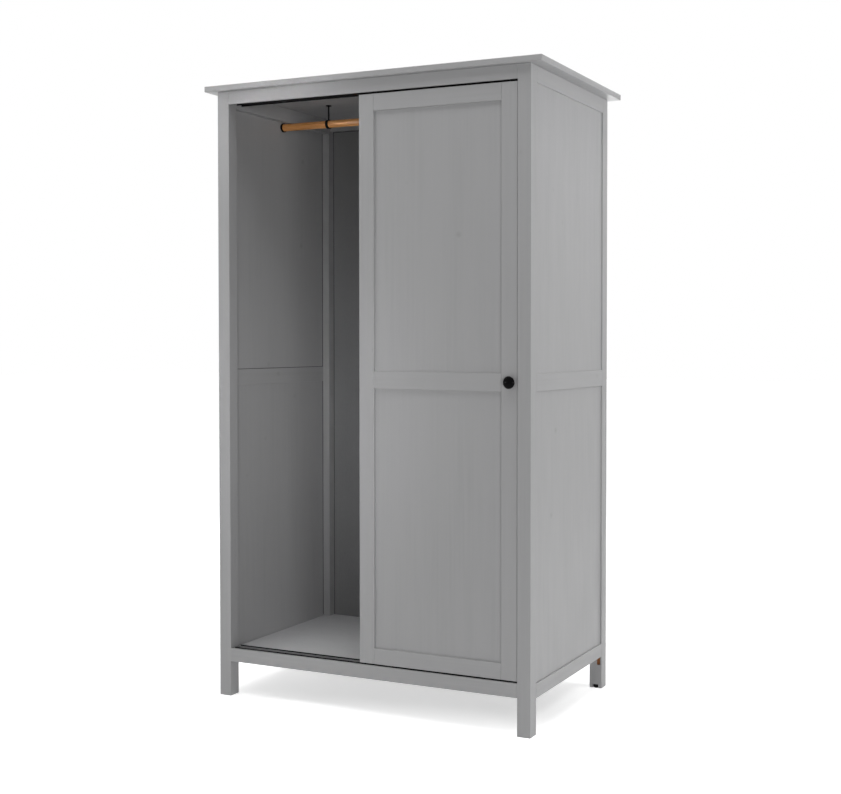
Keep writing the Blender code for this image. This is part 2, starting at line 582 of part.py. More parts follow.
def door_roller(name, x, line, low_rail):
    """A roller with stub axles, and the slot and axle holes for it in the door's bottom rail."""
    reach = ROLLER_RADIUS + ROLLER_ROOM
    across = ROLLER_WIDTH / 2 + ROLLER_ROOM
    slot_z = (DOOR_BOTTOM - PAST, ROLLER_LEVEL + reach)
    cut(low_rail, (x - reach, x + reach), (line - across, line + across), slot_z)
    place = (x, line, ROLLER_LEVEL)
    hole = AXLE_LENGTH + 2 * CLEARANCE
    round_tool(low_rail, place, AXLE_RADIUS + CLEARANCE, hole, "DIFFERENCE", FACING_FRONT, sides=16)
    face, axle = ROLLER_WIDTH / 2, AXLE_LENGTH / 2
    half = [(0.0, axle), (AXLE_RADIUS, axle), (AXLE_RADIUS, face), (ROLLER_RADIUS - EDGE, face),
            (ROLLER_RADIUS, face - EDGE)]
    mirrored = [(radius, -height) for radius, height in reversed(half)]
    return turned(name, half + mirrored, "roller_plastic", place, FACING_FRONT)


def make_door(tag, front):
    """One sliding door with its pull, guides and rollers, carried by an empty at its middle."""
    line = front + DOOR_THICKNESS / 2
    carrier = anchor(tag + "_door_slide", ((DOOR_LEFT + DOOR_RIGHT) / 2, line, (DOOR_BOTTOM + DOOR_TOP) / 2))
    left_stile, low_rail, pieces = door_frame(tag, front)
    pieces += [left_stile, low_rail, door_pull(tag, front, left_stile)]
    for hand, x in (("left", DOOR_LEFT + GUIDE_INSET), ("right", DOOR_RIGHT - GUIDE_INSET)):
        pieces.append(door_guide(tag + "_door_guide_" + hand, x, line))
    for hand, x in (("left", STILE_LEFT_IN + ROLLER_INSET), ("right", STILE_RIGHT_IN - ROLLER_INSET)):
        pieces.append(door_roller(tag + "_door_roller_" + hand, x, line, low_rail))
    for piece in pieces:
        carry(carrier, piece)


for old in list(bpy.data.objects):
    bpy.data.objects.remove(old, do_unlink=True)
PARTS = collection("wardrobe")
CUTTERS = collection("wardrobe_cutters")

for place, rear in (("front", False), ("rear", True)):
    for hand, side in HANDS:
        make_post("post_%s_%s" % (place, hand), side, rear)
        make_foot("levelling_foot_%s_%s" % (place, hand), side, rear)
for hand, side in HANDS:
    make_side(hand, side)
make_front_rails()
make_tracks()
make_floor_and_top()
make_back()
make_rod()
for tag, front in zip(("front", "rear"), DOOR_FRONTS):
    make_door(tag, front)
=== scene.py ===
"""Looks of a tall wardrobe in grey painted pine with two sliding doors.

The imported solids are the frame. Boards, rails and panels keep their solids and
each gets a painted pine of its own, with the grain along the board. Turned and
moulded pieces are made again here as smooth surfaces that stand for their
solids. Metres, +Z up, the front faces -Y.
"""

import logging
import math
from dataclasses import dataclass, field
from enum import Enum, IntEnum

import bmesh
import bpy
import numpy as np
from mathutils import Matrix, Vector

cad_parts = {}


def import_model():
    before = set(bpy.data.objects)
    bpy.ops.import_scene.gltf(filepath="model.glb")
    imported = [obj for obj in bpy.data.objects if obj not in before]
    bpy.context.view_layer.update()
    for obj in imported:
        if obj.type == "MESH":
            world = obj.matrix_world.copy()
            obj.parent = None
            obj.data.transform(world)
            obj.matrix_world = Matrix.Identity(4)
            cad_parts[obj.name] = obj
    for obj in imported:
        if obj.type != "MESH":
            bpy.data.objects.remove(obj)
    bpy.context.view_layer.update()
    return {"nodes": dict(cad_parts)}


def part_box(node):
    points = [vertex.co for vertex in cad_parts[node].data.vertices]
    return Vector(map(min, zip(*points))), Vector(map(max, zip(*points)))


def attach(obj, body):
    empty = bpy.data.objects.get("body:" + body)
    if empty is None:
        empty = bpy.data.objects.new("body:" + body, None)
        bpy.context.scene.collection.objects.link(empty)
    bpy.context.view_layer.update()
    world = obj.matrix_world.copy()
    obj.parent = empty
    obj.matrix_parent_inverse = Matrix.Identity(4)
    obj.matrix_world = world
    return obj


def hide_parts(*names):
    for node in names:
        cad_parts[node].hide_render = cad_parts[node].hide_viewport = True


LOG = logging.getLogger("wardrobe")
MM = 0.001
MERGE_DISTANCE = 0.001 * MM
SHARP_DEGREES = 35.0
X, Y, Z = range(3)
X_AXIS, Y_AXIS, Z_AXIS = np.eye(3)
ENDS = ("front", "rear")
HANDS = ("left", "right")

Colour = tuple[float, float, float, float]
Pair = tuple[float, float]
Triple = tuple[float, float, float]
Nodes = dict[str, bpy.types.Object]
Material = bpy.types.Material
Mesh = bpy.types.Mesh
Socket = bpy.types.NodeSocket
Tree = bpy.types.NodeTree


# Small tools


def linear(code: str) -> Colour:
    """Turns an sRGB hex code into a linear colour, by the sRGB curve.

    Args:
        code: The colour as "#rrggbb".

    Returns:
        Red, green, blue and an alpha of one, linear.
    """
    srgb = np.array([int(code[i:i + 2], 16) for i in (1, 3, 5)]) / 255.0
    value = np.where(srgb <= 0.04045, srgb / 12.92, ((srgb + 0.055) / 1.055) ** 2.4)
    return (*value.tolist(), 1.0)


def even(size_mm: float) -> Triple:
    """Repeats per metre of a pattern that is alike on all axes."""
    return (1 / size_mm / MM,) * 3


def add(tree: Tree, kind: str, inputs: dict | None = None, **settings: str) -> bpy.types.NodeOutputs:
    """Adds one node with its settings and links.

    Args:
        tree: The node tree that gets the node.
        kind: The node's type, without the words that all types start with.
        inputs: What each socket gets, by its name or number: a socket to link, or a value.
        settings: The node's own properties.

    Returns:
        The new node's outputs.
    """
    node = tree.nodes.new("ShaderNode" + kind)
    for name, value in settings.items():
        setattr(node, name, value)
    for name, value in (inputs or {}).items():
        if isinstance(value, Socket):
            tree.links.new(value, node.inputs[name])
        else:
            node.inputs[name].default_value = value
    return node.outputs


@dataclass(frozen=True)
class Box:
    """The lowest and highest corner of a solid at rest."""

    low: np.ndarray
    high: np.ndarray

    @classmethod
    def of(cls, node: str) -> "Box":
        """The box of one CAD node."""
        low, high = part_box(node)
        return cls(np.array(low), np.array(high))

    @property
    def centre(self) -> np.ndarray:
        """The middle of the box."""
        return (self.low + self.high) / 2

    @property
    def half(self) -> np.ndarray:
        """Half the box's size on each axis."""
        return (self.high - self.low) / 2


class Grain(Enum):
    """Which way a board's grain runs."""

    ACROSS = (1, 0, 0)
    DEEP = (0, 1, 0)
    UPRIGHT = (0, 0, 1)

    def scale(self, width_mm: float, length_mm: float) -> Triple:
        """Repeats per metre of a pattern that is stretched along the grain.

        Args:
            width_mm: Size of one patch across the grain.
            length_mm: Size of one patch along the grain.

        Returns:
            The scale on X, Y and Z.
        """
        along = np.array(self.value)
        return tuple((along / length_mm + (1 - along) / width_mm) / MM)


class Seed(IntEnum):
    """How far the patterns of each piece, or of the first of its group, are moved."""

    CARCASS = 1
    BACK_BOARDS = 61
    JOINING_STRIP = 63
    FLOOR = 65
    GROOVES = 71
    UPPER_TRACK = 81
    LOWER_TRACK = 84
    ROD_HOLDERS = 91
    ROD = 92
    FEET = 95
    FRONT_DOOR = 101
    REAR_DOOR = 121


# Surfaces


def grid_faces(rows: int, columns: int, wrap_rows: bool = False, wrap_columns: bool = False) -> np.ndarray:
    """Quads between the points of a grid; a wrapped side joins its last line to its first.

    Args:
        rows: Number of lines of points.
        columns: Number of points in a line.
        wrap_rows: Whether the last line joins the first.
        wrap_columns: Whether the last point of a line joins its first.

    Returns:
        Four point numbers for each face.
    """
    row = np.arange(rows if wrap_rows else rows - 1)
    column = np.arange(columns if wrap_columns else columns - 1)
    a, b = np.meshgrid(row, column, indexing="ij")
    next_a, next_b = (a + 1) % rows, (b + 1) % columns
    quads = [a * columns + b, next_a * columns + b, next_a * columns + next_b, a * columns + next_b]
    return np.stack(quads, axis=-1).reshape(-1, 4)


def closed_mesh(name: str, points: np.ndarray, faces: list) -> Mesh:
    """A mesh whose doubled points are merged, with its faces turned outwards and shaded smooth.

    Args:
        name: The mesh's name.
        points: The points, one row each.
        faces: The point numbers of each face.

    Returns:
        The finished mesh.
    """
    mesh = bpy.data.meshes.new(name)
    mesh.from_pydata(points.reshape(-1, 3).tolist(), [], faces)
    work = bmesh.new()
    work.from_mesh(mesh)
    bmesh.ops.remove_doubles(work, verts=work.verts, dist=MERGE_DISTANCE)
    bmesh.ops.dissolve_degenerate(work, edges=work.edges, dist=MERGE_DISTANCE)
    bmesh.ops.recalc_face_normals(work, faces=work.faces)
    work.to_mesh(mesh)
    work.free()
    mesh.shade_smooth()
    mesh.set_sharp_from_angle(angle=math.radians(SHARP_DEGREES))
    return mesh


def frame_about(axis: np.ndarray) -> tuple[np.ndarray, np.ndarray]:
    """Two directions square to each other and to a unit axis along X, Y or Z, either way."""
    first = np.roll(np.abs(axis), 1)
    return first, np.cross(axis, first)


def turned_points(profile: np.ndarray, place: np.ndarray, axis: np.ndarray, steps: int) -> np.ndarray:
    """A turned surface: each profile point's radius is carried round the axis at its own height.

    Args:
        profile: Radius and height along the axis, one row a point.
        place: Where height zero lies.
        axis: The unit direction of the axis.
        steps: Number of points in one turn.

    Returns:
        The points as an array of steps by profile by three.
    """
    first, second = frame_about(axis)
    turn = np.linspace(0, 2 * np.pi, steps, endpoint=False)[:, None, None]
    ray = np.cos(turn) * first + np.sin(turn) * second
    return place + profile[None, :, 1:] * axis + profile[None, :, :1] * ray


def turned(name: str, profile: np.ndarray, place: np.ndarray, axis: np.ndarray, steps: int) -> Mesh:
    """The mesh of a turned surface.

    Args:
        name: The mesh's name.
        profile: Radius and height, from one pole to the other.
        place: Where height zero lies.
        axis: The unit direction of the axis.
        steps: Number of points in one turn.

    Returns:
        The finished mesh.
    """
    points = turned_points(profile, place, axis, steps)
    return closed_mesh(name, points, grid_faces(steps, len(profile), wrap_rows=True).tolist())


def rounded(corners: np.ndarray, radius: float, steps: int = 4) -> np.ndarray:
    """A closed outline whose corners are arcs that touch both sides.

    Each arc swings from one side's tangent point to the other about the corner's inner centre,
    by the sine rule between the two spokes.

    Args:
        corners: The outline's corners in order, one row each.
        radius: The radius of every arc.
        steps: Number of points on one arc.

    Returns:
        The outline's points in order.
    """
    back = np.roll(corners, 1, axis=0) - corners
    ahead = np.roll(corners, -1, axis=0) - corners
    back = back / np.linalg.norm(back, axis=1, keepdims=True)
    ahead = ahead / np.linalg.norm(ahead, axis=1, keepdims=True)
    half = np.arccos(np.clip((back * ahead).sum(1), -1, 1))[:, None] / 2
    inward = (back + ahead) / np.linalg.norm(back + ahead, axis=1, keepdims=True)
    centre = corners + inward * radius / np.sin(half)
    spoke_in = corners + back * radius / np.tan(half) - centre
    spoke_out = corners + ahead * radius / np.tan(half) - centre
    swing = (np.pi - 2 * half)[:, None]
    share = np.linspace(0, 1, steps)[None, :, None]
    bend = np.sin((1 - share) * swing) * spoke_in[:, None] + np.sin(share * swing) * spoke_out[:, None]
    return (centre[:, None] + bend / np.sin(swing)).reshape(-1, 2)


def drawn(name: str, outline: np.ndarray, start: float, end: float, axis: int) -> Mesh:
    """A closed outline carried straight along one axis, with flat ends.

    Args:
        name: The mesh's name.
        outline: Points on the other two axes in their order, one row each.
        start: Where the run starts on the axis.
        end: Where it ends.
        axis: The axis of the run, X, Y or Z.

    Returns:
        The finished mesh.
    """
    count = len(outline)
    rings = [np.insert(outline, axis, level, axis=1) for level in (start, end)]
    sides = grid_faces(2, count, wrap_columns=True).tolist()
    ends = [list(range(count)), list(range(count, 2 * count))]
    return closed_mesh(name, np.concatenate(rings), sides + ends)


def arc(centre: Pair, radii: Pair, start: float, end: float, count: int) -> np.ndarray:
    """Points on a stretch of an ellipse.

    Args:
        centre: Radius and height of the ellipse's middle.
        radii: The ellipse's reach in radius and in height.
        start: The first point's angle in degrees, counted from the radius direction.
        end: The last point's angle in degrees.
        count: Number of points.

    Returns:
        Radius and height of each point.
    """
    angle = np.radians(np.linspace(start, end, count))
    return np.stack([centre[0] + radii[0] * np.cos(angle), centre[1] + radii[1] * np.sin(angle)], axis=1)


# Finishes


@dataclass(frozen=True)
class Drift:
    """How a pattern moves with a seed: the step of one seed on each axis, and where the way starts again."""

    step: Triple
    wrap: Triple


PATTERN_DRIFT = Drift((7.31, 3.77, 5.13), (97.0, 89.0, 83.0))
KNOT_DRIFT = Drift((2.71, 1.93, 4.19), (41.0, 43.0, 47.0))

# The noise between its darkest and its lightest tenth
NOISE_SPAN = (0.34, 0.66)

# Sockets of the Mix node when it mixes colours
MIX_A, MIX_B, MIX_COLOUR = 6, 7, 2


class Recipe:
    """The nodes of one new material: its shader, and the Object coordinates that its patterns read."""

    def __init__(self, name: str) -> None:
        """Starts the material.

        Args:
            name: The material's name.
        """
        self.material = bpy.data.materials.new(name)
        self.material.use_nodes = True
        self.tree = self.material.node_tree
        self.shader = self.tree.nodes["Principled BSDF"]
        self.place = add(self.tree, "TexCoord")["Object"]

    def moved(self, scale: Triple, seed: int, drift: Drift) -> Socket:
        """The coordinates at a pattern's scale, moved so that no two boards look alike.

        Args:
            scale: Repeats per metre on each axis.
            seed: How many steps the pattern moves.
            drift: The steps.

        Returns:
            The moved coordinates.
        """
        shift = tuple(np.array(drift.step) * seed % drift.wrap)
        spot = {"Vector": self.place, "Location": shift, "Scale": scale}
        return add(self.tree, "Mapping", spot)[0]

    def pattern(self, scale: Triple, seed: int, detail: float = 2.0, span: Pair = (0.0, 1.0)) -> Socket:
        """A soft random pattern of a real size, spread between two values.

        Args:
            scale: Repeats per metre on each axis.
            seed: Moves the pattern.
            detail: How many finer layers the pattern has.
            span: The values of the darkest and of the lightest tenth.

        Returns:
            The pattern's value.
        """
        spot = {"Vector": self.moved(scale, seed, PATTERN_DRIFT), "Scale": 1.0, "Detail": detail}
        noise = add(self.tree, "TexNoise", spot)[0]
        spread = {"Value": noise, "From Min": NOISE_SPAN[0], "From Max": NOISE_SPAN[1],
                  "To Min": span[0], "To Max": span[1]}
        return add(self.tree, "MapRange", spread)[0]

    def nearness(self, axis: int, level: float, inner: float, outer: float) -> Socket:
        """How near a point lies to a level on one axis.

        Args:
            axis: The axis, X, Y or Z.
            level: The level on it.
            inner: Up to this distance the nearness is one.
            outer: From this distance on it is nothing.

        Returns:
            The nearness, from 0 to 1.
        """
        along = add(self.tree, "SeparateXYZ", {0: self.place})[axis]
        past = add(self.tree, "Math", {0: along, 1: level}, operation="SUBTRACT")[0]
        away = add(self.tree, "Math", {0: past}, operation="ABSOLUTE")[0]
        fade = {"Value": away, "From Min": inner, "From Max": outer, "To Min": 1.0, "To Max": 0.0}
        return add(self.tree, "MapRange", fade)[0]

    def edge_distance(self, box: Box) -> Socket:
        """How far a point on a board lies from the board's nearest long edge, in metres.

        On a board's face one of the three distances to the box's sides is nothing, so the middle one of
        the three is the distance to the nearest edge.

        Args:
            box: The board's box.

        Returns:
            The distance.
        """
        tree = self.tree
        centred = add(tree, "VectorMath", {0: self.place, 1: tuple(box.centre)}, operation="SUBTRACT")[0]
        mirrored = add(tree, "VectorMath", {0: centred}, operation="ABSOLUTE")[0]
        inside = add(tree, "VectorMath", {0: tuple(box.half), 1: mirrored}, operation="SUBTRACT")[0]
        x, y, z = add(tree, "SeparateXYZ", {0: inside})
        least = add(tree, "Math", {0: x, 1: y}, operation="MINIMUM")[0]
        most = add(tree, "Math", {0: x, 1: y}, operation="MAXIMUM")[0]
        capped = add(tree, "Math", {0: most, 1: z}, operation="MINIMUM")[0]
        return add(tree, "Math", {0: least, 1: capped}, operation="MAXIMUM")[0]

    def layered(self, ground: str, coats: list[tuple[Socket, str]]) -> Socket:
        """Colours laid over a ground one after another.

        Args:
            ground: The sRGB code of the ground.
            coats: The share of each coat, from 0 to 1, and its sRGB code.

        Returns:
            The colour on top.
        """
        colour = linear(ground)
        for share, code in coats:
            layers = {0: share, MIX_A: colour, MIX_B: linear(code)}
            colour = add(self.tree, "Mix", layers, data_type="RGBA")[MIX_COLOUR]
        return colour

    def finished(self, colour: Socket, gloss: Socket, skin: Socket, bump: float, relief_mm: float,
                 constants: dict | None = None) -> Material:
        """Links the patterns to the shader and sets what is the same all over.

        Args:
            colour: The colour.
            gloss: The roughness.
            skin: The height of the surface.
            bump: How strongly the height shows.
            relief_mm: What a height of one stands for.
            constants: The values of the shader's other sockets by name.

        Returns:
            The material.
        """
        relief = {"Height": skin, "Strength": bump, "Distance": relief_mm * MM}
        raised = add(self.tree, "Bump", relief)[0]
        for name, socket in {"Base Color": colour, "Roughness": gloss, "Normal": raised}.items():
            self.tree.links.new(socket, self.shader.inputs[name])
        for name, value in (constants or {}).items():
            self.shader.inputs[name].default_value = value
        return self.material


@dataclass(frozen=True)
class JointShade:
    """An open joint at a board's visible edge, drawn as painted shade: a dark line on one of its faces."""

    axis: int
    level: float
    width: float
    face_axis: int
    face_sign: int

    def line(self, recipe: Recipe, box: Box) -> Socket:
        """Draws the painted shade line on its face.

        Args:
            recipe: The board's material.
            box: The board's box.

        Returns:
            The painted shade's share, from 0 to 1.
        """
        tree = recipe.tree
        near = recipe.nearness(self.axis, self.level, self.width / 2, self.width)
        across = add(tree, "SeparateXYZ", {0: recipe.place})[self.face_axis]
        test = "GREATER_THAN" if self.face_sign > 0 else "LESS_THAN"
        middle = float(box.centre[self.face_axis])
        face = add(tree, "Math", {0: across, 1: middle}, operation=test)[0]
        return add(tree, "Math", {0: near, 1: face}, operation="MULTIPLY")[0]


@dataclass(frozen=True)
class PaintedPine:
    """Planed pine under a thin sprayed semi-matte paint.

    The grain shows through as faint long streaks, knots as soft spots, the paint is a little uneven in gloss,
    and a painted highlight lies along the eased edges, where they catch light. Real grain lines lie 2 mm
    apart, too fine to show, so the streaks are drawn 9 mm wide. The seeds are added to a board's own.
    """

    colour: str = "#ababac"
    streak: str = "#a7a7a8"
    knot: str = "#979696"
    # Painted highlight along the eased edges
    edge_highlight_colour: str = "#b4b4b4"
    refraction: float = 1.5
    streak_mm: Pair = (9.0, 420.0)
    cloud_mm: Pair = (70.0, 500.0)
    cloud_seed: int = 11
    roughness: Pair = (0.40, 0.50)
    gloss_mm: Pair = (23.33, 166.7)
    gloss_seed: int = 23
    knot_spacing_mm: float = 150.0
    knot_share: Pair = (0.02, 0.085)
    knot_strength: float = 0.55
    edge_mm: float = 1.8
    break_mm: float = 25.0
    break_span: Pair = (0.15, 0.75)
    break_seed: int = 41
    peel_mm: float = 2.5
    peel_height: float = 0.4
    peel_seed: int = 31
    relief_mm: float = 0.08
    bump: float = 0.25

    def make(self, name: str, grain: Grain, box: Box, seed: int, joints: tuple[JointShade, ...] = ()) -> Material:
        """Makes the finish for one board.

        Args:
            name: The material's name.
            grain: Which way the board's grain runs.
            box: The board's box, for its edges.
            seed: Moves the patterns.
            joints: The painted shade lines of the open joints along the board's visible edges.

        Returns:
            The material.
        """
        recipe = Recipe(name)
        lines = recipe.pattern(grain.scale(*self.streak_mm), seed, detail=3.0)
        clouds = recipe.pattern(grain.scale(*self.cloud_mm), seed + self.cloud_seed)
        streaks = add(recipe.tree, "Math", {0: lines, 1: clouds}, operation="MULTIPLY")[0]
        coats = [(streaks, self.streak), (self.knots(recipe, seed), self.knot)]
        # Painted highlight along the eased edges, where they catch light
        coats.append((self.painted_edge_highlight(recipe, box, seed), self.edge_highlight_colour))
        # Painted shade: dark lines along the open joints
        coats += [(joint.line(recipe, box), PAINTED_JOINT_SHADE) for joint in joints]
        gloss = recipe.pattern(grain.scale(*self.gloss_mm), seed + self.gloss_seed, span=self.roughness)
        height = (0.0, self.peel_height)
        peel = recipe.pattern(even(self.peel_mm), seed + self.peel_seed, detail=1.0, span=height)
        skin = add(recipe.tree, "Math", {0: lines, 1: peel}, operation="ADD")[0]
        colour = recipe.layered(self.colour, coats)
        return recipe.finished(colour, gloss, skin, self.bump, self.relief_mm, {"IOR": self.refraction})

    def knots(self, recipe: Recipe, seed: int) -> Socket:
        """Soft round spots at random places.

        Args:
            recipe: The board's material.
            seed: Moves the spots.

        Returns:
            The spots' share, from 0 to 1.
        """
        spot = {"Vector": recipe.moved(even(self.knot_spacing_mm), seed, KNOT_DRIFT), "Scale": 1.0}
        away = add(recipe.tree, "TexVoronoi", spot)["Distance"]
        fade = {"Value": away, "From Min": self.knot_share[0], "From Max": self.knot_share[1],
                "To Min": self.knot_strength, "To Max": 0.0}
        return add(recipe.tree, "MapRange", fade, interpolation_type="SMOOTHSTEP")[0]

    def painted_edge_highlight(self, recipe: Recipe, box: Box, seed: int) -> Socket:
        """A painted highlight along the edges, where they catch light, broken up along them.

        Args:
            recipe: The board's material.
            box: The board's box.
            seed: Moves the breaks.

        Returns:
            The painted highlight's share, from 0 to 1.
        """
        fade = {"Value": recipe.edge_distance(box), "From Min": 0.0, "From Max": self.edge_mm * MM,
                "To Min": 1.0, "To Max": 0.0}
        edge = add(recipe.tree, "MapRange", fade, interpolation_type="SMOOTHSTEP")[0]
        breaks = recipe.pattern(even(self.break_mm), seed + self.break_seed, span=self.break_span)
        return add(recipe.tree, "Math", {0: edge, 1: breaks}, operation="MULTIPLY")[0]


@dataclass(frozen=True)
class PrintedBoard:
    """Thin fibreboard with a matte grey print: flat and even, with a fine fibre fleck."""

    colour: str
    fleck: str
    fleck_mm: Pair = (3.0, 14.0)
    cloud_mm: Pair = (120.0, 300.0)
    cloud_span: Pair = (0.2, 1.0)
    cloud_seed: int = 5
    roughness: Pair = (0.52, 0.62)
    gloss_mm: Pair = (40.0, 90.0)
    gloss_seed: int = 9
    relief_mm: float = 0.08
    bump: float = 0.2

    def make(self, name: str, grain: Grain, box: Box, seed: int, joints: tuple[JointShade, ...] = ()) -> Material:
        """Makes the finish for one board.

        Args:
            name: The material's name.
            grain: Which way the flecks lie.
            box: The board's box.
            seed: Moves the patterns.
            joints: The painted shade lines of the open joints along the board's visible edges.

        Returns:
            The material.
        """
        recipe = Recipe(name)
        flecks = recipe.pattern(grain.scale(*self.fleck_mm), seed, detail=3.0)
        clouds = recipe.pattern(grain.scale(*self.cloud_mm), seed + self.cloud_seed, span=self.cloud_span)
        specks = add(recipe.tree, "Math", {0: flecks, 1: clouds}, operation="MULTIPLY")[0]
        # Painted shade: dark lines along the open joints
        coats = [(specks, self.fleck)] + [(joint.line(recipe, box), PAINTED_JOINT_SHADE) for joint in joints]
        gloss = recipe.pattern(grain.scale(*self.gloss_mm), seed + self.gloss_seed, span=self.roughness)
        return recipe.finished(recipe.layered(self.colour, coats), gloss, flecks, self.bump, self.relief_mm)


@dataclass(frozen=True)
class BareWood:
    """Wood that shows its own colour: long fine grain lines, darker late wood and a clear coat or none."""

    early: str
    late: str
    roughness: Pair
    coat: float
    coat_roughness: float = 0.25
    line_mm: Pair = (2.2, 90.0)
    line_share: float = 0.45
    band_mm: Pair = (9.0, 260.0)
    band_span: Pair = (0.1, 0.9)
    band_seed: int = 3
    gloss_mm: Pair = (12.0, 80.0)
    gloss_seed: int = 7
    relief_mm: float = 0.12
    bump: float = 0.3

    def make(self, name: str, grain: Grain, seed: int) -> Material:
        """Makes the finish.

        Args:
            name: The material's name.
            grain: Which way the grain runs.
            seed: Moves the patterns.

        Returns:
            The material.
        """
        recipe = Recipe(name)
        lines = recipe.pattern(grain.scale(*self.line_mm), seed, detail=3.0)
        bands = recipe.pattern(grain.scale(*self.band_mm), seed + self.band_seed, span=self.band_span)
        rest = {0: bands, 1: 1 - self.line_share}
        broad = add(recipe.tree, "Math", rest, operation="MULTIPLY")[0]
        both = {0: lines, 1: self.line_share, 2: broad}
        dark = add(recipe.tree, "Math", both, operation="MULTIPLY_ADD")[0]
        gloss = recipe.pattern(grain.scale(*self.gloss_mm), seed + self.gloss_seed, span=self.roughness)
        lacquer = {"Coat Weight": self.coat, "Coat Roughness": self.coat_roughness}
        colour = recipe.layered(self.early, [(dark, self.late)])
        return recipe.finished(colour, gloss, lines, self.bump, self.relief_mm, lacquer)


@dataclass(frozen=True)
class MouldedPlastic:
    """Moulded or drawn plastic: a fine even skin, faint flow marks along its run and a scuffed gloss."""

    colour: str
    scuff: str
    roughness: Pair
    refraction: float = 1.45
    flow_mm: Pair = (3.0, 160.0)
    scuff_mm: float = 45.45
    scuff_seed: int = 13
    dust: str = "#747475"
    dust_mm: float = 0.5
    skin_mm: float = 1.2
    skin_seed: int = 3
    relief_mm: float = 0.05
    bump: float = 0.2

    def make(self, name: str, grain: Grain, seed: int, rubbed: Pair | None = None) -> Material:
        """Makes the finish.

        Args:
            name: The material's name.
            grain: Which way the flow marks run.
            seed: Moves the patterns.
            rubbed: The stretch of depth on which the plastic is rubbed and dusty, if there is one.

        Returns:
            The material.
        """
        recipe = Recipe(name)
        flow = recipe.pattern(grain.scale(*self.flow_mm), seed)
        scuffs = recipe.pattern(even(self.scuff_mm), seed + self.scuff_seed)
        marks = add(recipe.tree, "Math", {0: flow, 1: scuffs}, operation="MULTIPLY")[0]
        coats = [(marks, self.scuff)]
        if rubbed is not None:
            middle, reach = sum(rubbed) / 2, (rubbed[1] - rubbed[0]) / 2
            coats.append((recipe.nearness(Y, middle, reach - self.dust_mm * MM, reach), self.dust))
        shine = {"Value": marks, "To Min": self.roughness[0], "To Max": self.roughness[1]}
        gloss = add(recipe.tree, "MapRange", shine)[0]
        skin = recipe.pattern(even(self.skin_mm), seed + self.skin_seed, detail=1.0)
        colour = recipe.layered(self.colour, coats)
        return recipe.finished(colour, gloss, skin, self.bump, self.relief_mm, {"IOR": self.refraction})


# Painted shade: the colour of the dark line where an open joint's shade falls
PAINTED_JOINT_SHADE = "#3c3c3c"
PAINT = PaintedPine()

# The back board is darker than the paint, painted shade for the dim inside of the back; the floor board is
# paler, painted light for the light falling on it from above
BACK_BOARD = PrintedBoard("#8c8c8d", "#848485")
FLOOR_BOARD = PrintedBoard("#c4c4c5", "#bcbcbd")

# The rod shines softly under its lacquer, the cut grooves are rough and dull
LACQUERED_ROD = BareWood("#f4b06a", "#d08a48", (0.24, 0.34), 0.5)
RAW_PINE = BareWood("#b98254", "#8f5c34", (0.62, 0.75), 0.0)

# Black plastic stays deep black in bright light, so its refraction is set low; the knob is the smoothest
BLACK_PLASTIC = MouldedPlastic("#050506", "#0b0b0c", (0.40, 0.52), refraction=1.15)
GLOSS_BLACK = MouldedPlastic("#020203", "#040405", (0.07, 0.11), relief_mm=0.01, refraction=1.14)
GREY_NYLON = MouldedPlastic("#333334", "#29292a", (0.36, 0.48))
GREY_STRIP = MouldedPlastic("#a0a0a1", "#979798", (0.40, 0.50))


# Pieces


def dress(node: bpy.types.Object, material: Material) -> None:
    """Puts one finish in all of a solid's material slots.

    Args:
        node: The CAD node.
        material: Its finish.
    """
    for slot in node.material_slots:
        slot.material = material
    LOG.info("dressed %s", node.name)


def piece(mesh: Mesh, material: Material, body: str, replaced: str | None = None) -> None:
    """Adds a new piece, named as its mesh is, that rides on a body.

    Args:
        mesh: The piece's mesh, with its place in it.
        material: Its finish.
        body: The CAD body that it moves with.
        replaced: The CAD node that it stands for, if any.
    """
    made = bpy.data.objects.new(mesh.name, mesh)
    bpy.context.scene.collection.objects.link(made)
    mesh.materials.append(material)
    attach(made, body)
    if replaced:
        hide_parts(replaced)
    LOG.info("made %s with %d faces", made.name, len(mesh.polygons))


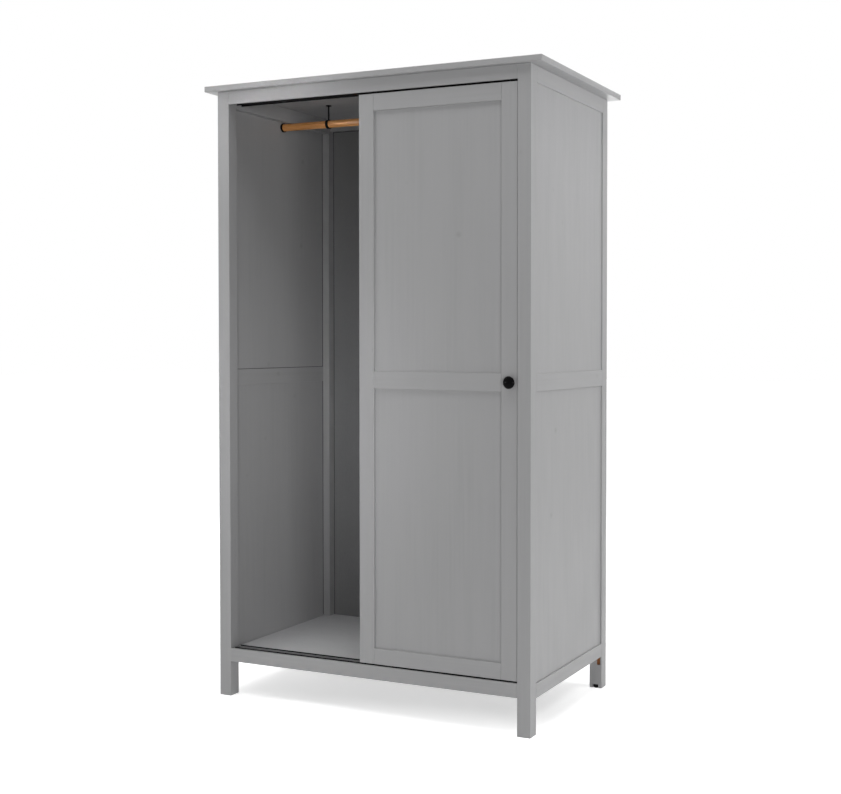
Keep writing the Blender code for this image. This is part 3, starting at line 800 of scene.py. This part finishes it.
@dataclass
class Carcass:
    """Posts, side frames, rails, top, floor and back, all solids that stay, and the legs' bare grooves."""

    groove_runout: float = 29 * MM
    groove_room: float = 0.3 * MM
    groove_spare: float = 1.0 * MM
    lining: float = 0.25 * MM
    lining_gap: float = 0.05 * MM
    # Widths of the painted shade lines along the open joints
    post_joint: float = 4.0 * MM
    rail_joint: float = 2.4 * MM
    back_joint_shade: float = 3.0 * MM

    def build(self, nodes: Nodes) -> None:
        """Dresses the solids and lines the grooves.

        Args:
            nodes: The CAD nodes by name.
        """
        for seed, (name, grain) in enumerate(self.painted().items(), Seed.CARCASS):
            joints = self.side_joints(name)
            dress(nodes[name], PAINT.make("painted pine " + name, grain, Box.of(name), seed, joints))
        for seed, hand in enumerate(HANDS, Seed.BACK_BOARDS):
            name, joints = "back_board_" + hand, self.back_joint_shades(hand)
            finish = BACK_BOARD.make("printed board " + name, Grain.UPRIGHT, Box.of(name), seed, joints)
            dress(nodes[name], finish)
        strip = GREY_STRIP.make("grey plastic of the joining strip", Grain.UPRIGHT, Seed.JOINING_STRIP)
        dress(nodes["back_joining_strip"], strip)
        floor = Box.of("bottom_panel")
        dress(nodes["bottom_panel"],
              FLOOR_BOARD.make("printed board of the floor", Grain.ACROSS, floor, Seed.FLOOR))
        raw = RAW_PINE.make("bare pine of the grooves", Grain.UPRIGHT, Seed.GROOVES)
        for hand in HANDS:
            for end in ENDS:
                self.line_groove(hand, end, raw)

    @staticmethod
    def painted() -> dict[str, Grain]:
        """Lists the painted solids.

        Returns:
            Which way each solid's grain runs, by its name.
        """
        grains = {f"post_{end}_{hand}": Grain.UPRIGHT for end in ENDS for hand in HANDS}
        for hand in HANDS:
            grains |= {f"{hand}_side_{level}_rail": Grain.DEEP for level in ("top", "middle", "bottom")}
            grains |= {f"{hand}_side_{level}_panel": Grain.UPRIGHT for level in ("upper", "lower")}
        across = ("front_top_rail", "front_bottom_rail", "back_top_rail", "back_bottom_rail", "top_panel")
        return grains | dict.fromkeys(across, Grain.ACROSS)

    def side_joints(self, name: str) -> tuple[JointShade, ...]:
        """The painted shade lines of the open joints inside a side panel: along the rear post, and over the
        middle rail.

        Args:
            name: A painted solid.

        Returns:
            The panel's painted joint shades, or none for another solid.
        """
        hand, _, kind = name.partition("_side_")
        if not kind.endswith("panel"):
            return ()
        inward = 1 if hand == "left" else -1
        joints = [JointShade(Y, Box.of("post_rear_" + hand).low[Y], self.post_joint, X, inward)]
        if kind == "upper_panel":
            rail = Box.of(hand + "_side_middle_rail")
            joints.append(JointShade(Z, rail.high[Z], self.rail_joint, X, inward))
        return tuple(joints)

    def back_joint_shades(self, hand: str) -> tuple[JointShade, ...]:
        """The painted shade lines of the open joints inside a back board: along the rear post, and under the
        back top rail.

        Args:
            hand: The board's side, left or right.

        Returns:
            The board's painted joint shades.
        """
        post, rail = Box.of("post_rear_" + hand), Box.of("back_top_rail")
        edge = post.high[X] if hand == "left" else post.low[X]
        return JointShade(X, edge, self.back_joint_shade, Y, -1), JointShade(Z, rail.low[Z], self.back_joint_shade, Y, -1)

    def line_groove(self, hand: str, end: str, material: Material) -> None:
        """Lines the open end of a side panel's groove below the bottom rail, where the wood is bare.

        The lining is a thin U drawn upright, open towards the other post of the same side.

        Args:
            hand: The side, left or right.
            end: The post, front or rear.
            material: The bare wood.
        """
        post = Box.of(f"post_{end}_{hand}")
        panel = Box.of(hand + "_side_lower_panel")
        top = Box.of(hand + "_side_bottom_rail").low[Z]
        reach = self.groove_room - self.lining_gap
        spare = self.groove_spare - self.lining_gap
        if end == "front":
            mouth, floor, wall = post.high[Y], panel.low[Y] - spare, self.lining
        else:
            mouth, floor, wall = post.low[Y], panel.high[Y] + spare, -self.lining
        left, right = panel.low[X] - reach, panel.high[X] + reach
        outer = [(left, mouth), (left, floor), (right, floor), (right, mouth)]
        left, right = left + self.lining, right - self.lining
        inner = [(right, mouth), (right, floor + wall), (left, floor + wall), (left, mouth)]
        low = top - self.groove_runout + self.lining_gap
        mesh = drawn(f"bare_groove_{end}_{hand}", np.array(outer + inner), low, top, Z)
        piece(mesh, material, "carcass")


@dataclass
class Tracks:
    """The black upper double channel and the lower strip with its two grooves, drawn with rounded lips."""

    wall: float = 2.2 * MM
    base: float = 2.5 * MM
    middle: float = 5.0 * MM
    lip_radius: float = 0.5 * MM
    groove_width: float = 10.0 * MM
    groove_depth: float = 3.5 * MM

    def build(self) -> None:
        """Makes both tracks."""
        lines = [Box.of(end + "_door_roller_left").centre[Y] for end in ENDS]
        ridge = (lines[0] + self.groove_width / 2, lines[1] - self.groove_width / 2)
        plain = BLACK_PLASTIC.make("black plastic of the upper track", Grain.ACROSS, Seed.UPPER_TRACK)
        rubbed = BLACK_PLASTIC.make("rubbed black plastic of the lower track", Grain.ACROSS,
                                    Seed.LOWER_TRACK, ridge)
        for node, outline, plastic in (("upper_track", self.channels(lines), plain),
                                       ("lower_track", self.grooves(lines), rubbed)):
            box = Box.of(node)
            mesh = drawn(node + "_profile", rounded(outline, self.lip_radius), box.low[X], box.high[X], X)
            piece(mesh, plastic, "carcass", node)

    def channels(self, lines: list[float]) -> np.ndarray:
        """The upper track's section: a base and three walls that hang from it.

        Args:
            lines: Where the doors run from front to back.

        Returns:
            The section's corners in depth and height.
        """
        box = Box.of("upper_track")
        (_, front, low), (_, back, high) = box.low, box.high
        roof = high - self.base
        near = sum(lines) / 2 - self.middle / 2
        far = near + self.middle
        return np.array([(front, high), (front, low), (front + self.wall, low), (front + self.wall, roof),
                         (near, roof), (near, low), (far, low), (far, roof),
                         (back - self.wall, roof), (back - self.wall, low), (back, low), (back, high)])

    def grooves(self, lines: list[float]) -> np.ndarray:
        """The lower track's section: a flat strip with a groove for each door's rollers.

        Args:
            lines: Where the doors run from front to back.

        Returns:
            The section's corners in depth and height.
        """
        box = Box.of("lower_track")
        (_, front, low), (_, back, high) = box.low, box.high
        half, floor = self.groove_width / 2, high - self.groove_depth
        dips = [corner for line in lines for corner in
                ((line - half, high), (line - half, floor), (line + half, floor), (line + half, high))]
        return np.array([(front, low), (front, high), *dips, (back, high), (back, low)])


@dataclass
class HangingRod:
    """The lacquered rod, the sockets at its ends and the hangers that carry it from the ceiling."""

    chamfer: float = 1.0 * MM
    bore_room: float = 0.3 * MM
    socket_base: float = 2.5 * MM
    lip_radius: float = 0.6 * MM
    hanger_wall: float = 2.4 * MM
    stem_radius: float = 2.5 * MM
    ring_width: float = 10.0 * MM
    flange: float = 2.5 * MM
    flange_radius: float = 10.0 * MM
    fillet: float = 2.0 * MM
    rod_steps: int = 72
    ring_steps: int = 64
    stem_steps: int = 32

    def build(self) -> None:
        """Makes the rod, its sockets and its hangers."""
        rod = Box.of("clothes_rod")
        plastic = BLACK_PLASTIC.make("black plastic of the rod's holders", Grain.UPRIGHT, Seed.ROD_HOLDERS)
        self.make_rod(rod, LACQUERED_ROD.make("lacquered wood of the rod", Grain.ACROSS, Seed.ROD))
        bore = rod.half[Z] + self.bore_room
        for hand, side in zip(HANDS, (-1, 1)):
            self.make_socket("rod_socket_" + hand, rod, bore, -side * X_AXIS, plastic)
            self.make_hanger("rod_hanger_" + hand, rod, bore, plastic)

    def make_rod(self, rod: Box, wood: Material) -> None:
        """A round bar with chamfered ends.

        Args:
            rod: The rod's box.
            wood: Its finish.
        """
        radius, half = rod.half[Z], rod.half[X]
        inner = radius - self.chamfer
        profile = np.array([(0, -half), (inner, -half), (radius, self.chamfer - half),
                            (radius, half - self.chamfer), (inner, half), (0, half)])
        mesh = turned("rod_round", profile, rod.centre, X_AXIS, self.rod_steps)
        piece(mesh, wood, "carcass", "clothes_rod")

    def make_socket(self, node: str, rod: Box, bore: float, inward: np.ndarray, plastic: Material) -> None:
        """A shallow cup on the side panel that holds the rod's end.

        Args:
            node: The CAD socket.
            rod: The rod's box.
            bore: The cup's inner radius.
            inward: The direction from the panel to the middle.
            plastic: Its finish.
        """
        box = Box.of(node)
        outer, length = box.half[Z], 2 * box.half[X]
        place = rod.centre * (1 - X_AXIS) + box.centre * X_AXIS - inward * box.half[X]
        corners = np.array([(bore, self.socket_base), (bore, length), (outer, length), (outer, 0)])
        lip = rounded(corners, self.lip_radius)
        past_first_corner = len(lip) // len(corners)
        floor = [(0, self.socket_base), (bore, self.socket_base)]
        profile = np.concatenate([floor, lip[past_first_corner:], [(0, 0)]])
        mesh = turned(node + "_cup", profile, place, inward, self.ring_steps)
        piece(mesh, plastic, "carcass", node)

    def make_hanger(self, node: str, rod: Box, bore: float, plastic: Material) -> None:
        """A ring round the rod and a stem with a round flange under the ceiling.

        Args:
            node: The CAD hanger.
            rod: The rod's box.
            bore: The ring's inner radius.
            plastic: Its finish.
        """
        box = Box.of(node)
        centre = np.array([box.centre[X], rod.centre[Y], rod.centre[Z]])
        ring, half = bore + self.hanger_wall, self.ring_width / 2
        corners = np.array([(bore, -half), (ring, -half), (ring, half), (bore, half)])
        section = rounded(corners, self.lip_radius)
        band = turned_points(section, centre, X_AXIS, self.ring_steps)
        band_faces = grid_faces(self.ring_steps, len(section), wrap_rows=True, wrap_columns=True)
        top, foot, lip = box.high[Z] - centre[Z], (bore + ring) / 2, self.flange / 2
        neck = (self.stem_radius + self.fillet, top - self.flange - self.fillet)
        sweep = arc(neck, (self.fillet, self.fillet), 180, 90, count=6)
        edge = arc((self.flange_radius - lip, top - lip), (lip, lip), -90, 90, count=7)
        stem = np.concatenate([[(0, foot), (self.stem_radius, foot)], sweep, edge, [(0, top)]])
        post = turned_points(stem, centre, Z_AXIS, self.stem_steps)
        post_faces = grid_faces(self.stem_steps, len(stem), wrap_rows=True) + band.size // 3
        points = np.concatenate([band.reshape(-1, 3), post.reshape(-1, 3)])
        mesh = closed_mesh(node + "_ring", points, band_faces.tolist() + post_faces.tolist())
        piece(mesh, plastic, "carcass", node)


@dataclass
class SlidingDoor:
    """One framed door: its solids stay, its pull and rollers are turned again.

    The seeds of its plastics are added to the door's own.
    """

    tag: str
    seed: int
    plastic_seed: int = 8
    nylon_seed: int = 9
    gloss_seed: int = 10
    knob_rim: float = 12.5 * MM
    knob_tuck: float = 7.5 * MM
    knob_neck: float = 8.5 * MM
    knob_neck_length: float = 3.1 * MM
    knob_foot: float = 10.5 * MM
    knob_foot_height: float = 1.2 * MM
    knob_steps: int = 96
    cup_radius: float = 15.2 * MM
    cup_wall: float = 1.5 * MM
    cup_flange: float = 1.2 * MM
    cup_fillet: float = 3.0 * MM
    cup_steps: int = 80
    tread_radius: float = 1.0 * MM
    hub_radius: float = 4.5 * MM
    web_radius: float = 10.8 * MM
    web_recess: float = 1.0 * MM
    axle_radius: float = 2.0 * MM
    roller_width: float = 7.0 * MM
    roller_steps: int = 64

    @property
    def body(self) -> str:
        """The CAD body that the door is."""
        return self.tag + "_door"

    def build(self, nodes: Nodes) -> None:
        """Dresses the frame and panels, and makes the pull and rollers.

        Args:
            nodes: The CAD nodes by name.
        """
        grains = {"left_stile": Grain.UPRIGHT, "right_stile": Grain.UPRIGHT, "top_rail": Grain.ACROSS,
                  "middle_rail": Grain.ACROSS, "bottom_rail": Grain.ACROSS,
                  "upper_panel": Grain.UPRIGHT, "lower_panel": Grain.UPRIGHT}
        for seed, (board, grain) in enumerate(grains.items(), self.seed):
            node = f"{self.body}_{board}"
            dress(nodes[node], PAINT.make("painted pine " + node, grain, Box.of(node), seed))
        plastic = BLACK_PLASTIC.make(f"black plastic of the {self.tag} door", Grain.ACROSS,
                                     self.seed + self.plastic_seed)
        nylon = GREY_NYLON.make(f"grey nylon of the {self.tag} rollers", Grain.DEEP,
                                self.seed + self.nylon_seed)
        for hand in HANDS:
            dress(nodes[f"{self.body}_guide_{hand}"], plastic)
            self.make_roller(hand, nylon)
        if self.tag == "front":
            self.make_knob()
        else:
            self.make_cup(plastic)

    def make_knob(self) -> None:
        """A low round knob: a domed face, a tucked-in back, a neck and a small foot."""
        box = Box.of("front_door_knob")
        radius, length = box.half[X], 2 * box.half[Y]
        dome = arc((0, self.knob_rim), (radius, length - self.knob_rim), 90, 0, count=24)
        tucked = (radius - self.knob_neck, self.knob_tuck)
        tuck = arc((self.knob_neck, self.knob_rim), tucked, -6, -90, count=14)
        foot = np.array([(self.knob_neck, self.knob_neck_length), (self.knob_foot, self.knob_foot_height),
                         (self.knob_foot, 0), (0, 0)])
        place = np.array([box.centre[X], box.high[Y], box.centre[Z]])
        mesh = turned("knob_turned", np.concatenate([dome, tuck, foot]), place, -Y_AXIS, self.knob_steps)
        gloss = GLOSS_BLACK.make("gloss black lacquer of the knob", Grain.DEEP, self.seed + self.gloss_seed)
        piece(mesh, gloss, self.body, "front_door_knob")

    def make_cup(self, plastic: Material) -> None:
        """A flush round cup with a thin flange on the stile's face and a filleted floor.

        Args:
            plastic: Its finish.
        """
        box = Box.of("rear_door_cup_pull")
        rim, depth = box.half[X], 2 * box.half[Y]
        inside, fillet, half = self.cup_radius - self.cup_wall, self.cup_fillet, self.cup_flange / 2
        bowl = arc((inside - fillet, self.cup_wall + fillet), (fillet, fillet), -90, 0, count=8)
        mouth = arc((inside + half, depth - half), (half, half), 180, 90, count=5)
        edge = arc((rim - half, depth - half), (half, half), 90, -90, count=9)
        back = [(self.cup_radius, depth - self.cup_flange), (self.cup_radius, 0), (0, 0)]
        profile = np.concatenate([[(0, self.cup_wall)], bowl, mouth, edge, back])
        place = np.array([box.centre[X], box.high[Y], box.centre[Z]])
        mesh = turned("cup_pull_turned", profile, place, -Y_AXIS, self.cup_steps)
        piece(mesh, plastic, self.body, "rear_door_cup_pull")

    def make_roller(self, hand: str, nylon: Material) -> None:
        """A roller with a hub, a recessed web, a rounded tread and stub axles.

        Args:
            hand: The end of the door, left or right.
            nylon: Its finish.
        """
        node, body = f"{self.body}_roller_{hand}", f"{self.tag}_roller_{hand}"
        box = Box.of(node)
        radius, axle, face = box.half[Z], box.half[Y], self.roller_width / 2
        web, bend = face - self.web_recess, self.tread_radius
        side = [(0, axle), (self.axle_radius, axle), (self.axle_radius, face), (self.hub_radius, face),
                (self.hub_radius, web), (self.web_radius, web), (self.web_radius, face)]
        tread = arc((radius - bend, face - bend), (bend, bend), 90, 0, count=5)
        half = np.concatenate([side, tread])
        profile = np.concatenate([half, half[::-1] * (1, -1)])
        mesh = turned(body + "_turned", profile, box.centre, Y_AXIS, self.roller_steps)
        piece(mesh, nylon, body, node)


@dataclass
class LevellingFeet:
    """The black levelling feet in the legs' notches: a fluted wheel on a threaded stem."""

    wheel_height: float = 11.8 * MM
    stem_radius: float = 4.0 * MM
    edge: float = 1.0 * MM
    flutes: int = 18
    flute_depth: float = 0.6 * MM
    flute_steps: int = 8
    flute_fade: int = 4
    pitch: float = 1.5 * MM
    thread_depth: float = 0.5 * MM
    thread_steps: int = 6

    def build(self) -> None:
        """Makes the four feet."""
        plastic = BLACK_PLASTIC.make("black plastic of the feet", Grain.UPRIGHT, Seed.FEET)
        for end in ENDS:
            for hand in HANDS:
                self.make_foot(f"{end}_{hand}", plastic)

    def make_foot(self, where: str, plastic: Material) -> None:
        """One foot: the wheel's radius waves with the turn, the stem's with the height.

        The wheel's radius is drawn in by a raised cosine of the turn, and the stem's by one of the height.

        Args:
            where: The leg, such as front_left.
            plastic: Its finish.
        """
        node = "levelling_foot_" + where
        box = Box.of(node)
        radius, top, edge = box.half[X], 2 * box.half[Z], self.edge
        turns = int((top - self.wheel_height) / self.pitch)
        climb = np.linspace(self.wheel_height, top - edge, self.thread_steps * turns + 1)
        wave = 0.5 - 0.5 * np.cos(2 * np.pi * (climb - self.wheel_height) / self.pitch)
        stem = np.stack([self.stem_radius - self.thread_depth * wave, climb], axis=1)[::-1]
        shoulder = arc((radius - edge, self.wheel_height - edge), (edge, edge), 90, 0, count=5)
        sole = arc((radius - edge, edge), (edge, edge), 0, -90, count=5)
        tip = [(0, top), (self.stem_radius - edge, top)]
        profile = np.concatenate([tip, stem, shoulder, sole, [(0, 0)]])
        steps = self.flute_steps * self.flutes
        points = turned_points(profile, np.zeros(3), Z_AXIS, steps)
        flute = 0.5 - 0.5 * np.cos(self.flutes * np.linspace(0, 2 * np.pi, steps, endpoint=False))
        outward = np.clip((profile[:, 0] - self.stem_radius) / (radius - self.stem_radius), 0, 1)
        shrink = 1 - self.flute_depth / radius * flute[:, None] * outward[None, :] ** self.flute_fade
        points[..., [X, Y]] *= shrink[..., None]
        points += np.array([box.centre[X], box.centre[Y], box.low[Z]])
        faces = grid_faces(steps, len(profile), wrap_rows=True)
        mesh = closed_mesh(f"foot_{where}_fluted", points, faces.tolist())
        piece(mesh, plastic, "foot_" + where, node)


# Studio


@dataclass(frozen=True)
class Softbox:
    """A rectangular lamp that faces a point."""

    name: str
    place: Triple
    target: Triple
    size: Pair
    watts: float
    beam_degrees: float = 180.0

    def build(self) -> None:
        """Adds the lamp."""
        lamp = bpy.data.lights.new(self.name, "AREA")
        lamp.shape = "RECTANGLE"
        lamp.size, lamp.size_y = self.size
        lamp.energy = self.watts
        lamp.spread = math.radians(self.beam_degrees)
        made = bpy.data.objects.new(self.name, lamp)
        bpy.context.scene.collection.objects.link(made)
        made.matrix_world = aimed(np.array(self.place), np.array(self.target) - np.array(self.place))


def aimed(place: np.ndarray, forward: np.ndarray, roll: float = 0.0) -> Matrix:
    """The placement of a lamp or camera that looks along a direction with its top up.

    Args:
        place: Where it stands.
        forward: The direction it looks in.
        roll: How far its right side is lifted, in radians.

    Returns:
        The world matrix.
    """
    forward = forward / np.linalg.norm(forward)
    right = np.cross(forward, Z_AXIS)
    right = right / np.linalg.norm(right)
    up = np.cross(right, forward)
    tilted = right * math.cos(roll) + up * math.sin(roll)
    square = up * math.cos(roll) - right * math.sin(roll)
    matrix = np.eye(4)
    matrix[:3] = np.stack([tilted, square, -forward, place], axis=1)
    return Matrix(matrix.tolist())


@dataclass
class Studio:
    """The camera of the photograph, soft lamps, a pale floor and a white background."""

    picture: tuple[int, int] = (841, 794)
    focal_pixels: float = 1191.0
    centre_pixel: Pair = (600.0, 367.7)
    viewpoint: Triple = (2.0515, -3.3867, 1.1548)
    yaw: float = 0.3911
    pitch: float = 0.0225
    roll: float = 0.0028
    sensor: float = 36.0
    floor_half: float = 30.0
    floor_colour: str = "#e4e4e4"
    # The painted shadow on the floor: the lowest glow under the object, and the turned rectangle that it
    # fades from
    floor_glow: float = 0.50
    shadow_centre: Triple = (-0.01, 0.01, 0.0)
    shadow_half: Triple = (0.44, 0.10, 0.0)
    shadow_fade: float = 0.37
    shadow_turn: float = 0.12
    background: str = "#ffffff"
    ambient: float = 0.03
    lamps: list[Softbox] = field(default_factory=lambda: [
        Softbox("upper left key", (-1.1, -1.0, 2.1), (-0.5, -0.29, 1.7), (0.7, 0.7), 2.4),
        Softbox("left fill", (-2.4, -3.0, 1.0), (-0.1, 0.0, 1.3), (0.5, 0.5), 8.4),
        Softbox("right fill", (4.5, -4.5, 1.0), (0.0, 0.0, 0.9), (2.5, 1.8), 99.0),
        Softbox("gridded softbox", (1.3, -2.8, 0.95), (-0.54, 0.05, 0.95), (0.4, 0.6), 0.42, 25.0),
        Softbox("rod spot", (-1.2, -2.6, 1.5), (-0.2, 0.0, 1.89), (0.15, 0.15), 0.10, 12.0),
        Softbox("floor spot", (-0.3, -1.5, 3.0), (-0.25, -0.2, 0.15), (0.4, 0.4), 0.15, 16.0),
        Softbox("side softbox", (3.4, 0.5, 2.0), (0.6, 0.05, 1.1), (1.8, 1.0), 11.5),
        Softbox("gridded side softbox", (2.4, 0.4, 2.6), (0.6, 0.05, 0.7), (1.2, 0.8), 2.1, 50.0),
        Softbox("low side grid", (3.2, 0.6, 0.5), (0.6, 0.1, 1.95), (1.2, 0.8), 1.05, 24.0),
        Softbox("overhead softbox", (0.2, -0.6, 4.4), (0.2, -0.5, 0.0), (3.0, 3.0), 108.0),
        Softbox("back softbox", (-0.6, 3.6, 1.6), (0.0, 0.3, 1.0), (2.2, 2.2), 48.0),
        Softbox("left side softbox", (-3.6, 1.2, 1.6), (-0.6, 0.0, 1.0), (2.2, 2.2), 48.0),
    ])

    def build(self) -> None:
        """Adds the camera, the lamps, the floor and the background."""
        self.make_camera()
        for lamp in self.lamps:
            lamp.build()
        self.make_floor()
        self.make_background()
        bpy.context.scene.view_settings.view_transform = "Standard"

    def make_camera(self) -> None:
        """A camera at the photograph's viewing angle, shifted as its picture is cropped."""
        width, height = self.picture
        lens = bpy.data.cameras.new("camera")
        lens.sensor_width = self.sensor
        lens.lens = self.focal_pixels / width * self.sensor
        lens.shift_x = (width / 2 - self.centre_pixel[0]) / width
        lens.shift_y = (self.centre_pixel[1] - height / 2) / width
        camera = bpy.data.objects.new("camera", lens)
        bpy.context.scene.collection.objects.link(camera)
        level = math.cos(self.pitch)
        forward = np.array([-math.sin(self.yaw) * level, math.cos(self.yaw) * level, -math.sin(self.pitch)])
        camera.matrix_world = aimed(np.array(self.viewpoint), forward, self.roll)
        bpy.context.scene.camera = camera

    @staticmethod
    def seen(tree: Tree) -> Socket:
        """Tells the rays of the camera, and those that it sees in gloss or through glass, from all others.

        Args:
            tree: The node tree that asks.

        Returns:
            One for such a ray, and nothing otherwise.
        """
        path = add(tree, "LightPath")
        pair = {0: path["Is Camera Ray"], 1: path["Is Glossy Ray"]}
        first = add(tree, "Math", pair, operation="MAXIMUM")[0]
        rays = {0: first, 1: path["Is Transmission Ray"]}
        return add(tree, "Math", rays, operation="MAXIMUM")[0]

    def make_floor(self) -> None:
        """A wide pale floor that keeps the lamps' shadow, carries a painted shadow under the object and runs
        out to white.

        The floor's own glow is lowest under the object and rises to white with the distance from a level
        rectangle there, which paints a soft shadow under the object and gives the floor no end.
        """
        half = self.floor_half
        corners = [(-half, -half, 0), (half, -half, 0), (half, half, 0), (-half, half, 0)]
        mesh = bpy.data.meshes.new("floor")
        mesh.from_pydata(corners, [], [(0, 1, 2, 3)])
        floor = bpy.data.objects.new("floor", mesh)
        bpy.context.scene.collection.objects.link(floor)
        material = bpy.data.materials.new("pale studio floor")
        material.use_nodes = True
        tree = material.node_tree
        tree.nodes.clear()
        matte = add(tree, "BsdfDiffuse", {"Color": linear(self.floor_colour)})[0]
        place = add(tree, "TexCoord")["Object"]
        # Painted shadow: the glow is lowest in a turned rectangle under the object
        turn = {"Vector": place, "Location": self.shadow_centre, "Rotation": (0.0, 0.0, self.shadow_turn)}
        spot = add(tree, "Mapping", turn, vector_type="TEXTURE")[0]
        mirrored = add(tree, "VectorMath", {0: spot}, operation="ABSOLUTE")[0]
        rectangle = {0: mirrored, 1: self.shadow_half}
        beyond = add(tree, "VectorMath", rectangle, operation="SUBTRACT")[0]
        outside = add(tree, "VectorMath", {0: beyond, 1: (0, 0, 0)}, operation="MAXIMUM")[0]
        reach = add(tree, "VectorMath", {0: outside}, operation="LENGTH")["Value"]
        fade = {"Value": reach, "From Min": 0.0, "From Max": self.shadow_fade,
                "To Min": self.floor_glow, "To Max": 1.0}
        level = add(tree, "MapRange", fade, interpolation_type="SMOOTHSTEP")[0]
        shown = {0: self.seen(tree), 1: level}
        strength = add(tree, "Math", shown, operation="MULTIPLY")[0]
        glow = add(tree, "Emission", {"Strength": strength})[0]
        both = add(tree, "AddShader", {0: matte, 1: glow})[0]
        add(tree, "OutputMaterial", {"Surface": both})
        mesh.materials.append(material)

    def make_background(self) -> None:
        """A soft even light from all round, which the camera sees as white."""
        world = bpy.data.worlds.new("studio")
        world.use_nodes = True
        tree = world.node_tree
        strength = {"Value": self.seen(tree), "To Min": self.ambient, "To Max": 1.0}
        level = add(tree, "MapRange", strength)[0]
        tree.links.new(level, tree.nodes["Background"].inputs["Strength"])
        tree.nodes["Background"].inputs["Color"].default_value = linear(self.background)
        bpy.context.scene.world = world


def main() -> None:
    """Builds the wardrobe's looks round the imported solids."""
    logging.basicConfig(level=logging.INFO, format="%(message)s")
    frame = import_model()
    nodes = frame["nodes"]
    Studio().build()
    Carcass().build(nodes)
    Tracks().build()
    HangingRod().build()
    SlidingDoor("front", Seed.FRONT_DOOR).build(nodes)
    SlidingDoor("rear", Seed.REAR_DOOR).build(nodes)
    LevellingFeet().build()


if __name__ == "__main__":
    main()
